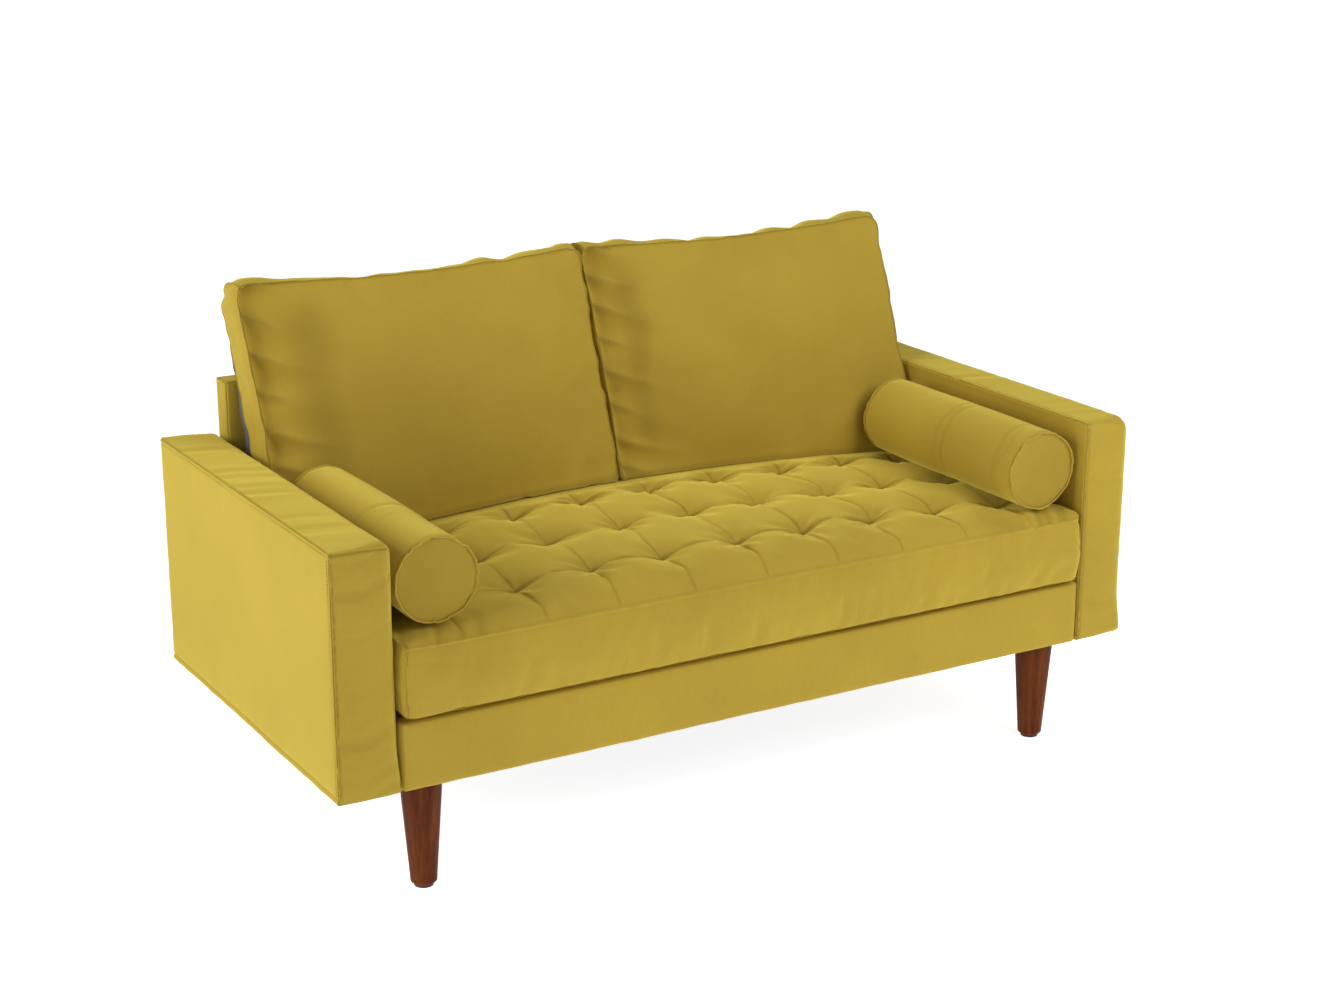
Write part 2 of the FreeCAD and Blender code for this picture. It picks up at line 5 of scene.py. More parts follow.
import bpy
import numpy as np
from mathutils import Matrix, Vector


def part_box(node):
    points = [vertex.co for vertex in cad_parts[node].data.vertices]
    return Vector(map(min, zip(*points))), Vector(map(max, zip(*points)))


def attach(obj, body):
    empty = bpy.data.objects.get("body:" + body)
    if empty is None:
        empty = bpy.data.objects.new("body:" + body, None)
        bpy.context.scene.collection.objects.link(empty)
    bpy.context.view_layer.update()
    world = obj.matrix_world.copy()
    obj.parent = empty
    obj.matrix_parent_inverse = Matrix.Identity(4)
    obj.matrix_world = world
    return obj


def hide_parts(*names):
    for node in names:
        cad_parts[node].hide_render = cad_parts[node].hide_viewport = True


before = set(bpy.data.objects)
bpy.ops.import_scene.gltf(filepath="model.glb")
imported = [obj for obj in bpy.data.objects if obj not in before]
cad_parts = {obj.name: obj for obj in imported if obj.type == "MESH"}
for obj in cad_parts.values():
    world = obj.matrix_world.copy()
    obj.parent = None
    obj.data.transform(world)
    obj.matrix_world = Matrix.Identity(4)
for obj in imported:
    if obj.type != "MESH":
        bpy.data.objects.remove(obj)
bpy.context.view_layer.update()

# ---- shapes in numbers


def smooth(value):
    """0 to 1 with soft ends."""
    value = np.clip(value, 0, 1)
    return value * value * (3 - 2 * value)


def hump(distance, width):
    """1 at distance 0, falling to nothing past about two widths."""
    return np.exp(-((distance / width) ** 2))


def wave(along, size, seed):
    """Smooth noise along one line, from -1 to 1, with swells about size long."""
    count = 509
    table = np.random.default_rng(seed).uniform(-1, 1, count)
    place = np.asarray(along) / size + 211.0
    whole = np.floor(place).astype(int)
    part = smooth(place - whole)
    return table[whole % count] * (1 - part) + table[(whole + 1) % count] * part


def cloud(points, size, seed):
    """Smooth noise through space, from -1 to 1. size is one length, or one for each axis."""
    count = 31
    table = np.random.default_rng(seed).uniform(-1, 1, (count, count, count))
    place = points / np.asarray(size) + 57.0
    whole = np.floor(place).astype(int)
    part = smooth(place - whole)
    total = 0
    for corner in np.ndindex(2, 2, 2):
        share = 1
        for axis in range(3):
            share = share * (part[:, axis] if corner[axis] else 1 - part[:, axis])
        at = (whole + corner) % count
        total = total + share * table[at[:, 0], at[:, 1], at[:, 2]]
    return total


def box(node):
    """The low and high corners of a CAD node."""
    return (np.array(corner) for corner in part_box(node))


def rule(low, high, step, seams=(), near=(0.0014, 0.0032, 0.006)):
    """Grid line places from low to high, about step apart and closer beside the ends and seams."""
    least = 0.0008
    kept = [low, high] + [s for s in seams if low < s < high]
    for seam in list(kept):
        kept += [seam + side * gap for gap in near for side in (-1, 1)]
    kept = sorted(k for k in kept if low <= k <= high)
    kept = [k for n, k in enumerate(kept) if n == 0 or k - kept[n - 1] > least]
    even = np.linspace(low, high, max(2, round((high - low) / step)) + 1)
    spare = [e for e in even if min(abs(e - k) for k in kept) > step * 0.45]
    return np.array(sorted(kept + spare))


class Shell:
    """The six faces of a box of grid lines, welded: at holds points, quads their numbers."""

    def __init__(self, xs, ys, zs):
        self.lines = (np.asarray(xs), np.asarray(ys), np.asarray(zs))
        shape = tuple(len(line) for line in self.lines)
        skin = np.zeros(shape, bool)
        for axis in range(3):
            np.moveaxis(skin, axis, 0)[[0, -1]] = True
        self.cell = np.nonzero(skin)
        self.number = np.full(shape, -1)
        self.number[skin] = np.arange(skin.sum())
        self.flat = np.stack([line[i] for line, i in zip(self.lines, self.cell)], -1)
        self.low = self.flat.min(0)
        self.high = self.flat.max(0)
        self.quads = np.concatenate([self.face(axis, end) for axis in range(3) for end in (0, -1)])

    def face(self, axis, end):
        """The quads of one face, turned outwards."""
        sheet = np.take(self.number, end, axis)
        ring = (sheet[:-1, :-1], sheet[1:, :-1], sheet[1:, 1:], sheet[:-1, 1:])
        quads = np.stack(ring, -1).reshape(-1, 4)
        return quads[:, ::-1] if (axis == 1) != (end == 0) else quads

    def edge_distance(self):
        """How far each point is from the nearest edge of its face, along the face."""
        gaps = np.minimum(self.flat - self.low, self.high - self.flat)
        return np.sort(gaps, 1)[:, 1]

    def fine(self, points, lines):
        """A Shell with closer lines, and these points carried onto it by smooth curves."""
        block = np.zeros(self.number.shape + (3,))
        block[self.cell] = points
        for axis in range(3):
            block = resample(block, axis, self.lines[axis], lines[axis])
        closer = Shell(*lines)
        return closer, block[closer.cell]


def ruled(low, high, steps):
    """A Shell over a box, with grid lines about these steps apart."""
    return Shell(*(rule(a, b, step) for a, b, step in zip(low, high, steps)))


def resample(block, axis, old, new):
    """Catmull-Rom curves through the lines of a block along one axis, at new places."""
    rows = np.moveaxis(block, axis, 0)
    place = np.interp(new, old, np.arange(len(old)))
    place = np.where(abs(place - np.round(place)) < 1e-9, np.round(place), place)
    first = np.clip(np.floor(place).astype(int), 0, len(old) - 2)
    part = (place - first).reshape((-1,) + (1,) * (rows.ndim - 1))
    before = rows[np.clip(first - 1, 0, None)]
    after = rows[np.clip(first + 2, None, len(old) - 1)]
    start = rows[first]
    stop = rows[first + 1]
    square = part * part
    cube = square * part
    made = (
        before * (-cube + 2 * square - part)
        + start * (3 * cube - 5 * square + 2)
        + stop * (-3 * cube + 4 * square + part)
        + after * (cube - square)
    ) / 2
    return np.moveaxis(made, 0, axis)


def rounded(points, low, high, radius):
    """Points of a box pulled onto rounded edges. radius may differ from point to point."""
    radius = np.broadcast_to(np.asarray(radius, float), (len(points),))[:, None]
    core = np.clip(points, low + radius, high - radius)
    away = points - core
    length = np.linalg.norm(away, axis=1, keepdims=True)
    return core + away * radius / np.maximum(length, 1e-9)


def normals(points, quads):
    """Outward unit normal at each point of a quad mesh."""
    a, b, c, d = (points[quads[:, n]] for n in range(4))
    flat = np.cross(c - a, d - b)
    total = np.zeros_like(points)
    for n in range(4):
        np.add.at(total, quads[:, n], flat)
    return total / np.maximum(np.linalg.norm(total, axis=1, keepdims=True), 1e-12)


def puckers(shell, size, depth, reach, seed, chosen=None):
    """Small folds that start at a box's edges and run out across its faces, as sewn cloth does.

    chosen picks the edges, by a function of the edge's axis and its two ends."""
    total = np.zeros(len(shell.flat))
    for axis in range(3):
        others = [n for n in range(3) if n != axis]
        for ends in np.ndindex(2, 2):
            if chosen and not chosen(axis, ends):
                continue
            away = 0
            for other, end in zip(others, ends):
                bound = shell.high[other] if end else shell.low[other]
                away = away + abs(shell.flat[:, other] - bound)
            key = seed + axis * 40 + ends[0] * 20 + ends[1] * 10
            along = shell.flat[:, axis] + away * 0.25 * wave(shell.flat[:, axis], size * 6, key + 3)
            far = reach * (1 + 0.7 * wave(along, size * 1.6, key + 1))
            strong = 0.65 + 0.35 * wave(along, size * 5, key + 2)
            total += wave(along, size, key) * strong * np.exp(-away / far)
    return depth * total


# ---- pieces


def link(thing):
    """Puts an object into the scene."""
    bpy.context.scene.collection.objects.link(thing)
    return thing


def make_mesh(name, points, faces, material, painted_shade=None):
    """A smooth mesh object. Its painted shade, from 0 to 1 at each point, darkens the cloth in
    seams, folds and patches.
    """
    mesh = bpy.data.meshes.new(name)
    mesh.from_pydata(np.asarray(points).tolist(), [], [list(map(int, f)) for f in faces])
    mesh.materials.append(material)
    mesh.shade_smooth()
    if painted_shade is not None:
        layer = mesh.attributes.new("painted_shade", "FLOAT", "POINT")
        layer.data.foreach_set("value", np.clip(painted_shade, 0, 1).astype(np.float32))
    mesh.update()
    return link(bpy.data.objects.new(name, mesh))


def make_piece(name, body, points, faces, painted_shade=None, nodes=(),
               slot="mustard_velvet"):
    """A mesh that rides on a body, wears a slot's finish and stands for CAD nodes."""
    piece = make_mesh(name, points, faces, materials[slot], painted_shade)
    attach(piece, body)
    if nodes:
        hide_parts(*nodes)
    return piece


CLOTH = {
    "quality": 5, "mass": 0.3, "air_damping": 5, "pin_stiffness": 1, "use_pressure": True,
    "tension_stiffness": 15.0, "compression_stiffness": 15.0, "shear_stiffness": 6.0,
    "tension_damping": 10, "compression_damping": 10, "shear_damping": 10, "bending_damping": 2,
}


def settle(points, quads, pinned, pressure, slack, frames, bend):
    """Lets Blender's cloth settle on a mesh under air pressure and returns the new points.

    pinned points stay. slack is how much wider the cloth is cut than the shape, and bend is
    how hard it is to bend."""
    mesh = bpy.data.meshes.new("settling")
    mesh.from_pydata(points.tolist(), [], quads.tolist())
    cloth = link(bpy.data.objects.new("settling", mesh))
    hold = cloth.vertex_groups.new(name="hold")
    hold.add([int(n) for n in np.nonzero(pinned)[0]], 1.0, "REPLACE")
    modifier = cloth.modifiers.new("cloth", "CLOTH")
    settings = modifier.settings
    for name, value in CLOTH.items():
        setattr(settings, name, value)
    settings.bending_stiffness = bend
    settings.uniform_pressure_force = pressure
    settings.vertex_group_mass = "hold"
    settings.shrink_min = -slack
    settings.effector_weights.gravity = 0
    modifier.collision_settings.use_collision = False
    modifier.collision_settings.use_self_collision = False
    modifier.point_cache.frame_start = 1
    modifier.point_cache.frame_end = frames + 5
    for step in range(1, frames + 1):
        bpy.context.scene.frame_set(step)
    settled = cloth.evaluated_get(bpy.context.evaluated_depsgraph_get()).data
    found = np.empty(len(points) * 3)
    settled.vertices.foreach_get("co", found)
    bpy.data.objects.remove(cloth)
    bpy.context.scene.frame_set(1)
    return found.reshape(-1, 3)


def capped(start, found, most):
    """The found points, drawn back smoothly so that none is further than most from its start."""
    move = found - start
    length = np.maximum(np.linalg.norm(move, axis=1, keepdims=True), 1e-9)
    return start + move * most * np.tanh(length / most) / length


def evened(shell, move, rounds):
    """Movements averaged with their neighbours along the grid, to take out single-point spikes."""
    quads = shell.quads
    for _ in range(rounds):
        total = np.zeros_like(move)
        count = np.zeros(len(move))
        for a in range(4):
            for here, there in ((a, (a + 1) % 4), ((a + 1) % 4, a)):
                np.add.at(total, quads[:, here], move[quads[:, there]])
                np.add.at(count, quads[:, here], 1)
        move = 0.5 * move + 0.5 * total / count[:, None]
    return move


# ---- materials


def put(node, values):
    """Sets a node's own sockets, by their names or numbers."""
    for socket, value in values.items():
        node.inputs[socket].default_value = value


class Finish:
    """A procedural material being made: its nodes, and the shader at their end."""

    def __init__(self, name):
        self.material = bpy.data.materials.new(name)
        self.material.use_nodes = True
        self.nodes = self.material.node_tree.nodes
        self.join = self.material.node_tree.links.new
        self.shader = self.nodes["Principled BSDF"]

    def wear(self, colour, *layers):
        """Joins the colour, and bump built up from layers of (height, strength, distance)."""
        self.join(colour, self.shader.inputs["Base Color"])
        normal = None
        for height, strength, distance in layers:
            bump = self.nodes.new("ShaderNodeBump")
            put(bump, {"Strength": strength, "Distance": distance})
            self.join(height, bump.inputs["Height"])
            if normal:
                self.join(normal, bump.inputs["Normal"])
            normal = bump.outputs["Normal"]
        if normal:
            self.join(normal, self.shader.inputs["Normal"])

    def noise(self, scale, detail, stretch=(1, 1, 1), rough=0.55):
        """Noise on the object's own coordinates, in metres."""
        place = self.nodes.new("ShaderNodeTexCoord")
        turn = self.nodes.new("ShaderNodeMapping")
        put(turn, {"Scale": stretch})
        noise = self.nodes.new("ShaderNodeTexNoise")
        put(noise, {"Scale": scale, "Detail": detail, "Roughness": rough})
        self.join(place.outputs["Object"], turn.inputs["Vector"])
        self.join(turn.outputs["Vector"], noise.inputs["Vector"])
        return noise.outputs["Fac"]

    def ramp(self, source, stops):
        """The colour at a source value. stops are (place, colour)."""
        ramp = self.nodes.new("ShaderNodeValToRGB")
        while len(ramp.color_ramp.elements) < len(stops):
            ramp.color_ramp.elements.new(0.5)
        for element, (place, colour) in zip(ramp.color_ramp.elements, stops):
            element.position = place
            element.color = (*colour, 1)
        self.join(source, ramp.inputs["Fac"])
        return ramp.outputs["Color"]

    def mix(self, kind, factor, first, second):
        """Mixes two colours. Each value is a number or colour, or a socket."""
        mix = self.nodes.new("ShaderNodeMix")
        mix.data_type = "RGBA"
        mix.blend_type = kind
        for place, value in ((0, factor), (6, first), (7, second)):
            if isinstance(value, bpy.types.NodeSocket):
                self.join(value, mix.inputs[place])
            else:
                put(mix, {place: value})
        return mix.outputs[2]

    def darkened(self, cloth, deep):
        """The cloth's colour with painted shade: it goes to deep where the mesh's painted shade
        attribute is high.
        """
        painted_shade = self.nodes.new("ShaderNodeAttribute")
        painted_shade.attribute_name = "painted_shade"
        return self.mix("MIX", painted_shade.outputs["Fac"], cloth, (*deep, 1))


def scaled(values, by):
    return tuple(value * by for value in values)


def velvet(name, colour, deep):
    """Short-pile cloth: soft streaky pile and fine grain, with painted shade from the mesh that
    darkens it in seams, folds and patches.
    """
    finish = Finish(name)
    drift = finish.noise(5, 3)
    nap_and_painted_shade = finish.noise(260, 3, (1, 1, 0.35))
    grain = finish.noise(1500, 2)
    broad = finish.ramp(drift, [(0.35, scaled(colour, 0.95)), (0.65, scaled(colour, 1.05))])
    streaks = finish.ramp(nap_and_painted_shade, [(0.3, (0.97, 0.97, 0.965)), (0.7, (1.025, 1.025, 1.025))])
    cloth = finish.mix("MULTIPLY", 1.0, broad, streaks)
    finish.wear(finish.darkened(cloth, deep), (grain, 0.22, 0.0006), (nap_and_painted_shade, 0.06, 0.0012))
    put(finish.shader, {"Roughness": 0.82, "Specular IOR Level": 0.2, "Sheen Weight": 1.0,
                         "Sheen Roughness": 0.5, "Sheen Tint": (1.0, 0.84, 0.15, 1)})
    return finish.material


def lining(name, colour):
    """Thin woven lining: two crossed sets of fine threads."""
    finish = Finish(name)
    place = finish.nodes.new("ShaderNodeTexCoord")
    weave = finish.nodes.new("ShaderNodeMath")
    weave.operation = "MULTIPLY"
    for n, direction in enumerate("XZ"):
        thread = finish.nodes.new("ShaderNodeTexWave")
        thread.bands_direction = direction
        put(thread, {"Scale": 380, "Distortion": 1.2, "Detail": 1})
        finish.join(place.outputs["Object"], thread.inputs["Vector"])
        finish.join(thread.outputs["Fac"], weave.inputs[n])
    height = weave.outputs[0]
    tone = finish.ramp(height, [(0.0, scaled(colour, 0.75)), (1.0, scaled(colour, 1.2))])
    # painted shade from the mesh darkens the lining towards a third of its colour
    finish.wear(finish.darkened(tone, scaled(colour, 0.3)), (height, 0.3, 0.0004))
    put(finish.shader, {"Roughness": 0.8, "Sheen Weight": 0.15})
    return finish.material


def wood(name, dark, light, stretch, rough):
    """Timber with grain along one axis, fine pores and a slow change of tone."""
    finish = Finish(name)
    grain = finish.noise(1, 5, stretch, 0.6)
    pores = finish.noise(1, 2, scaled(stretch, 5))
    slow = finish.noise(9, 2)
    tone = finish.ramp(grain, [(0.32, dark), (0.55, scaled(light, 0.8)), (0.72, light)])
    speck = finish.ramp(pores, [(0.36, (0.72, 0.7, 0.68)), (0.5, (1, 1, 1))])
    shade = finish.ramp(slow, [(0.3, (0.85, 0.85, 0.85)), (0.7, (1.1, 1.1, 1.1))])
    body = finish.mix("MULTIPLY", 0.6, tone, speck)
    finish.wear(finish.mix("MULTIPLY", 1.0, body, shade), (pores, 0.15, 0.0004))
    put(finish.shader, {"Roughness": rough, "Specular IOR Level": 0.12})
    return finish.material


def speckled(name, low, high, scale, rough, metal=0.0, bump=0.2):
    """A plain stuff with its own grain: board, foam, felt, thread, metal or plastic."""
    finish = Finish(name)
    grain = finish.noise(scale, 4)
    finish.wear(finish.ramp(grain, [(0.35, low), (0.65, high)]), (grain, bump, 0.0005))
    put(finish.shader, {"Roughness": rough, "Metallic": metal})
    return finish.material


VELVET_TONE = (0.44, 0.297, 0.033)
# the colour that painted shade in seams, folds and patches darkens the velvet towards
VELVET_PAINTED_SHADE = (0.15, 0.09, 0.008)

materials = {
    "mustard_velvet": velvet("mustard_velvet_cloth", VELVET_TONE, VELVET_PAINTED_SHADE),
    "grey_lining": lining("grey_lining_cloth", (0.10, 0.10, 0.115)),
    "leg_wood": wood("leg_wood_stain", (0.085, 0.014, 0.002), (0.19, 0.045, 0.006),
                     (95, 95, 5), 0.5),
    "frame_timber": wood("frame_timber_pine", (0.42, 0.25, 0.12), (0.62, 0.44, 0.25),
                         (14, 60, 60), 0.65),
    "hardboard": speckled("hardboard_brown", (0.13, 0.07, 0.03), (0.2, 0.115, 0.055), 420, 0.7),
    "foam": speckled("foam_cream", (0.74, 0.70, 0.53), (0.84, 0.81, 0.66), 320, 0.95, bump=0.5),
    "fibre_fill": speckled("fibre_white", (0.8, 0.8, 0.79), (0.9, 0.9, 0.89), 120, 0.95),
    "nonwoven_cloth": speckled("nonwoven_black", (0.012, 0.012, 0.013), (0.035, 0.035, 0.037),
                               700, 0.9, bump=0.4),
    "twine": speckled("twine_natural", (0.52, 0.46, 0.3), (0.7, 0.64, 0.45), 900, 0.85),
    "zinc_steel": speckled("zinc_steel_bright", (0.42, 0.43, 0.44), (0.6, 0.6, 0.6), 300, 0.38,
                           metal=1.0, bump=0.05),
    "spring_steel": speckled("spring_steel_dark", (0.16, 0.16, 0.165), (0.26, 0.26, 0.26), 300,
                             0.42, metal=1.0, bump=0.05),
    "glide_plastic": speckled("glide_plastic_black", (0.02, 0.02, 0.02), (0.035, 0.035, 0.035),
                              500, 0.55),
}


def dress_cad_nodes():
    """Gives every carried-over CAD node the finish of its own slot."""
    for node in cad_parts.values():
        finish = materials[node.data.materials[0].name.split(".")[0]]
        node.data.materials.clear()
        node.data.materials.append(finish)


# ---- arms, rail, backrest


def seam_line(distance, depth=0.0016, width=0.0019):
    """(drop, painted shade) across a sewn seam: a narrow groove between two soft lips, with shade
    painted along it.
    """
    drop = -depth * hump(distance, width) + depth * 0.35 * hump(distance - 0.0055, 0.0028)
    return drop, 0.75 * hump(distance, width * 1.1)


class Faces:
    """Which faces of its box each point of a shell is on."""

    def __init__(self, shell):
        self.left, self.front, self.bottom = (shell.flat < shell.low + 1e-6).T
        self.right, self.back, self.top = (shell.flat > shell.high - 1e-6).T


def upholstered(shell, radius, sunk, seed, fold, size=0.022):
    """A tight padded box: rounded, lower at its edges, puckered where it is sewn.

    Returns the points, their normals and how far each point rises along its normal."""
    edge_reach = 0.02
    fold_run = 0.03
    points = rounded(shell.flat, shell.low, shell.high, radius)
    out = normals(points, shell.quads)
    rise = -sunk * np.exp(-shell.edge_distance() / edge_reach)
    rise = rise + puckers(shell, size, fold, fold_run, seed)
    rise = rise + 0.0006 * cloud(shell.flat, 0.11, seed + 7)
    return points, out, rise


ARM_BAND = 0.009  # from the edge of the outer panel to its topstitch
ARM_ROW = 0.0058  # from the left seam of the front panel to its own row of stitches
ARM_HEM = 0.012  # from the foot to the fold of the cloth pulled under
ARM_SHARP = 0.0045  # radius of a sewn edge


def arm_radius(side, across, above_foot):
    """Radius of the edges: sharp at the left, and soft over foam at the right."""
    soft, kept = (0.020, 0.0) if side == "left" else (0.026, 0.30)
    radius = ARM_SHARP + (soft - ARM_SHARP) * smooth((across - 0.35) / 0.5)
    return ARM_SHARP + (radius - ARM_SHARP) * (kept + (1.0 - kept) * smooth(above_foot / 0.08))


def arm_folds(shell, on, side, seed):
    """(rise, painted shade in the front folds' valleys) of the slack across the narrow top and
    front panels.
    """
    x, y, z = shell.flat.T
    low, high = shell.low, shell.high
    lean = (x - low[0]) * 0.35
    top_folds = wave(y + lean, 0.020, seed + 11) * smooth((high[0] - x) / 0.05)
    rise = on.top * 0.0016 * top_folds * (0.5 + 0.5 * wave(y, 0.09, seed + 12))
    bow = 0.010 * np.sin(np.pi * (x - low[0]) / (high[0] - low[0]))
    front_folds = wave(z + bow + 0.012 * wave(x, 0.05, seed + 13), 0.0105, seed + 14)
    front_folds = front_folds * (0.6 + 0.4 * wave(z, 0.08, seed + 15)) * on.front
    slackness = 1.0 if side == "left" else 0.35
    rise = rise + 0.0018 * slackness * front_folds
    return rise, 0.35 * slackness * np.clip(-front_folds - 0.15, 0, 1)


def arm_seams(shell, on, side, seed):
    """(rise, painted shade) of the seams, the rows of stitches and the hem."""
    x, y, z = shell.flat.T
    low, high = shell.low, shell.high
    # the felled seam round the outer panel: its groove at the corner, its topstitch a band in
    corner = np.where(on.left, np.minimum(high[2] - z, y - low[1]), x - low[0])
    corner = np.where(on.left | on.top | on.front, corner, 1.0)
    rise, shade = seam_line(corner, 0.0014, 0.0019)
    dark = shade * (0.75 + 0.35 * wave(x + y + z, 0.0075, seed + 16))
    if side == "left":
        inside = np.where(on.left, np.minimum(high[2] - z, y - low[1]) - ARM_BAND, 1.0)
    else:
        inside = np.where(on.top | on.front, x - low[0] - ARM_BAND, 1.0)
    rise = rise - 0.0007 * hump(inside, 0.0016)
    dark = np.maximum(dark, 0.35 * hump(inside, 0.0012))
    row = np.where(on.front, x - low[0] - ARM_ROW, 1.0)
    # painted shade in dots along the row of stitches
    dotted = 0.55 + 0.45 * wave(z, 0.0062, seed + 17)
    rise = rise - 0.0008 * hump(row, 0.0016)
    dark = np.maximum(dark, 0.75 * dotted * hump(row, 0.0019))
    # the front panel's seam under the top panel
    if side == "left":
        drop, shade = seam_line(np.where(on.front, high[2] - z - 0.007, 1.0), 0.0011, 0.0014)
        rise = rise + drop
        dark = np.maximum(dark, shade * 0.8)
    hem = np.where(on.left | on.right, z - low[2] - ARM_HEM, 1.0)
    rise = rise - 0.0014 * hump(hem, 0.0026) + 0.0012 * hump(hem + 0.007, 0.004)
    return rise, np.maximum(dark, 0.35 * hump(hem, 0.0016))


def make_arm(side):
    """A square arm. Its left edges are sewn sharp, and its right edges are rounded over foam."""
    low, high = box(side + "_arm_cover")
    shell = Shell(
        rule(low[0], high[0], 0.0065, (low[0] + ARM_ROW, low[0] + ARM_BAND)),
        rule(low[1], high[1], 0.0065, (low[1] + 0.007,)),
        rule(low[2], high[2], 0.0065, (high[2] - ARM_BAND, low[2] + ARM_HEM)),
    )
    seed = 100 if side == "left" else 300
    across = (shell.flat[:, 0] - low[0]) / (high[0] - low[0])
    radius = arm_radius(side, across, shell.flat[:, 2] - low[2])
    points, out, rise = upholstered(shell, radius, 0.0022, seed, 0.0008)
    on = Faces(shell)
    fold_rise, fold_dark = arm_folds(shell, on, side, seed)
    seam_rise, seam_dark = arm_seams(shell, on, side, seed)
    points = points + out * (rise + fold_rise + seam_rise)[:, None]
    nodes = [side + "_arm_cover", side + "_arm_foam"]
    return make_piece(side + "_arm_upholstery", "frame", points, shell.quads,
                      np.maximum(fold_dark, seam_dark), nodes)


def make_front_rail():
    """The padded rail under the seat cushion, covered flat and turned under."""
    low, high = box("front_rail_cover")
    shell = ruled(low, high, (0.008, 0.006, 0.006))
    points, out, rise = upholstered(shell, 0.006, 0.0018, 500, 0.0006, 0.03)
    rise = rise + 0.0008 * cloud(shell.flat, (0.25, 0.1, 0.05), 511)
    points = points + out * rise[:, None]
    # painted shade along the rail's edges
    dark = 0.3 * hump(shell.edge_distance(), 0.002)
    return make_piece("front_rail_upholstery", "frame", points, shell.quads,
                      dark, ["front_rail_cover", "front_rail_foam"])


def make_backrest():
    """The upright back panel, padded in front and on top."""
    low, high = box("back_cover")
    high[1] -= 0.0008
    shell = ruled(low, high, (0.009, 0.006, 0.008))
    deep = shell.flat[:, 1]
    radius = 0.006 - 0.0045 * smooth((deep - low[1]) / (high[1] - low[1]))
    points, out, rise = upholstered(shell, radius, 0.0018, 600, 0.0008)
    # painted shade along the seams at the edges
    drop, shade = seam_line(shell.edge_distance(), 0.001, 0.0015)
    rise = rise + drop
    # it stays flat where the rear panel lies against it
    rise = np.where(deep > high[1] - 0.012, np.maximum(rise, -0.0002), rise)
    points = points + out * rise[:, None]
    return make_piece("backrest_upholstery", "frame", points, shell.quads,
                      shade * 0.7, ["back_cover", "back_foam"])


def make_rear_panel():
    """The separate flat panel of cloth behind the backrest."""
    low, high = box("back_rear_panel")
    edge_gap = 0.006
    low += (edge_gap, 0, edge_gap)
    high += (-edge_gap, 0.0018, -edge_gap)
    shell = Shell(
        rule(low[0], high[0], 0.009),
        np.linspace(low[1], high[1], 4),
        rule(low[2], high[2], 0.009),
    )
    points, out, rise = upholstered(shell, 0.0015, 0.0012, 650, 0.0005, 0.03)
    points = points + out * rise[:, None]
    # painted shade along the panel's edges
    dark = 0.45 * hump(shell.edge_distance(), 0.0016)
    return make_piece("backrest_rear_panel", "frame", points, shell.quads,
                      dark, ["back_rear_panel"])


# ---- seat cushion

ACROSS_PITCH = 0.132  # from one column of tufts to the next
DEPTH_PITCH = 0.154  # from one row of tufts to the next
TUFT_X = [ACROSS_PITCH * n for n in range(-4, 5)]
TUFT_Y = [-0.251 + DEPTH_PITCH * n for n in range(4)]
SEAT_LOW, SEAT_HIGH = box("seat_cushion_cover")
SEAT_TOP = SEAT_HIGH[2] + 0.003
SEAT_FRONT_SEAM = 0.405  # height of the welt along the front
ARCH = 0.033  # how far the top falls from the middle to the arms


def seat_arch(x):
    """Height of the cushion's broad arch, which falls towards the arms."""
    return SEAT_TOP - 0.003 - ARCH * (x / SEAT_HIGH[0]) ** 2


def seat_crown(x, y):
    """Height of the untufted top."""
    front = (SEAT_TOP - SEAT_FRONT_SEAM) * np.exp(-(y - SEAT_LOW[1]) / 0.040)
    back = 0.022 * np.exp(-(SEAT_HIGH[1] - y) / 0.022)
    side = 0.010 * np.exp(-(SEAT_HIGH[0] - abs(x)) / 0.016)
    drop = (front**4 + back**4 + side**4) ** 0.25
    fade = 1 - np.exp(-(y - SEAT_LOW[1]) / 0.05)
    return SEAT_TOP - ARCH * (x / SEAT_HIGH[0]) ** 2 * fade - drop


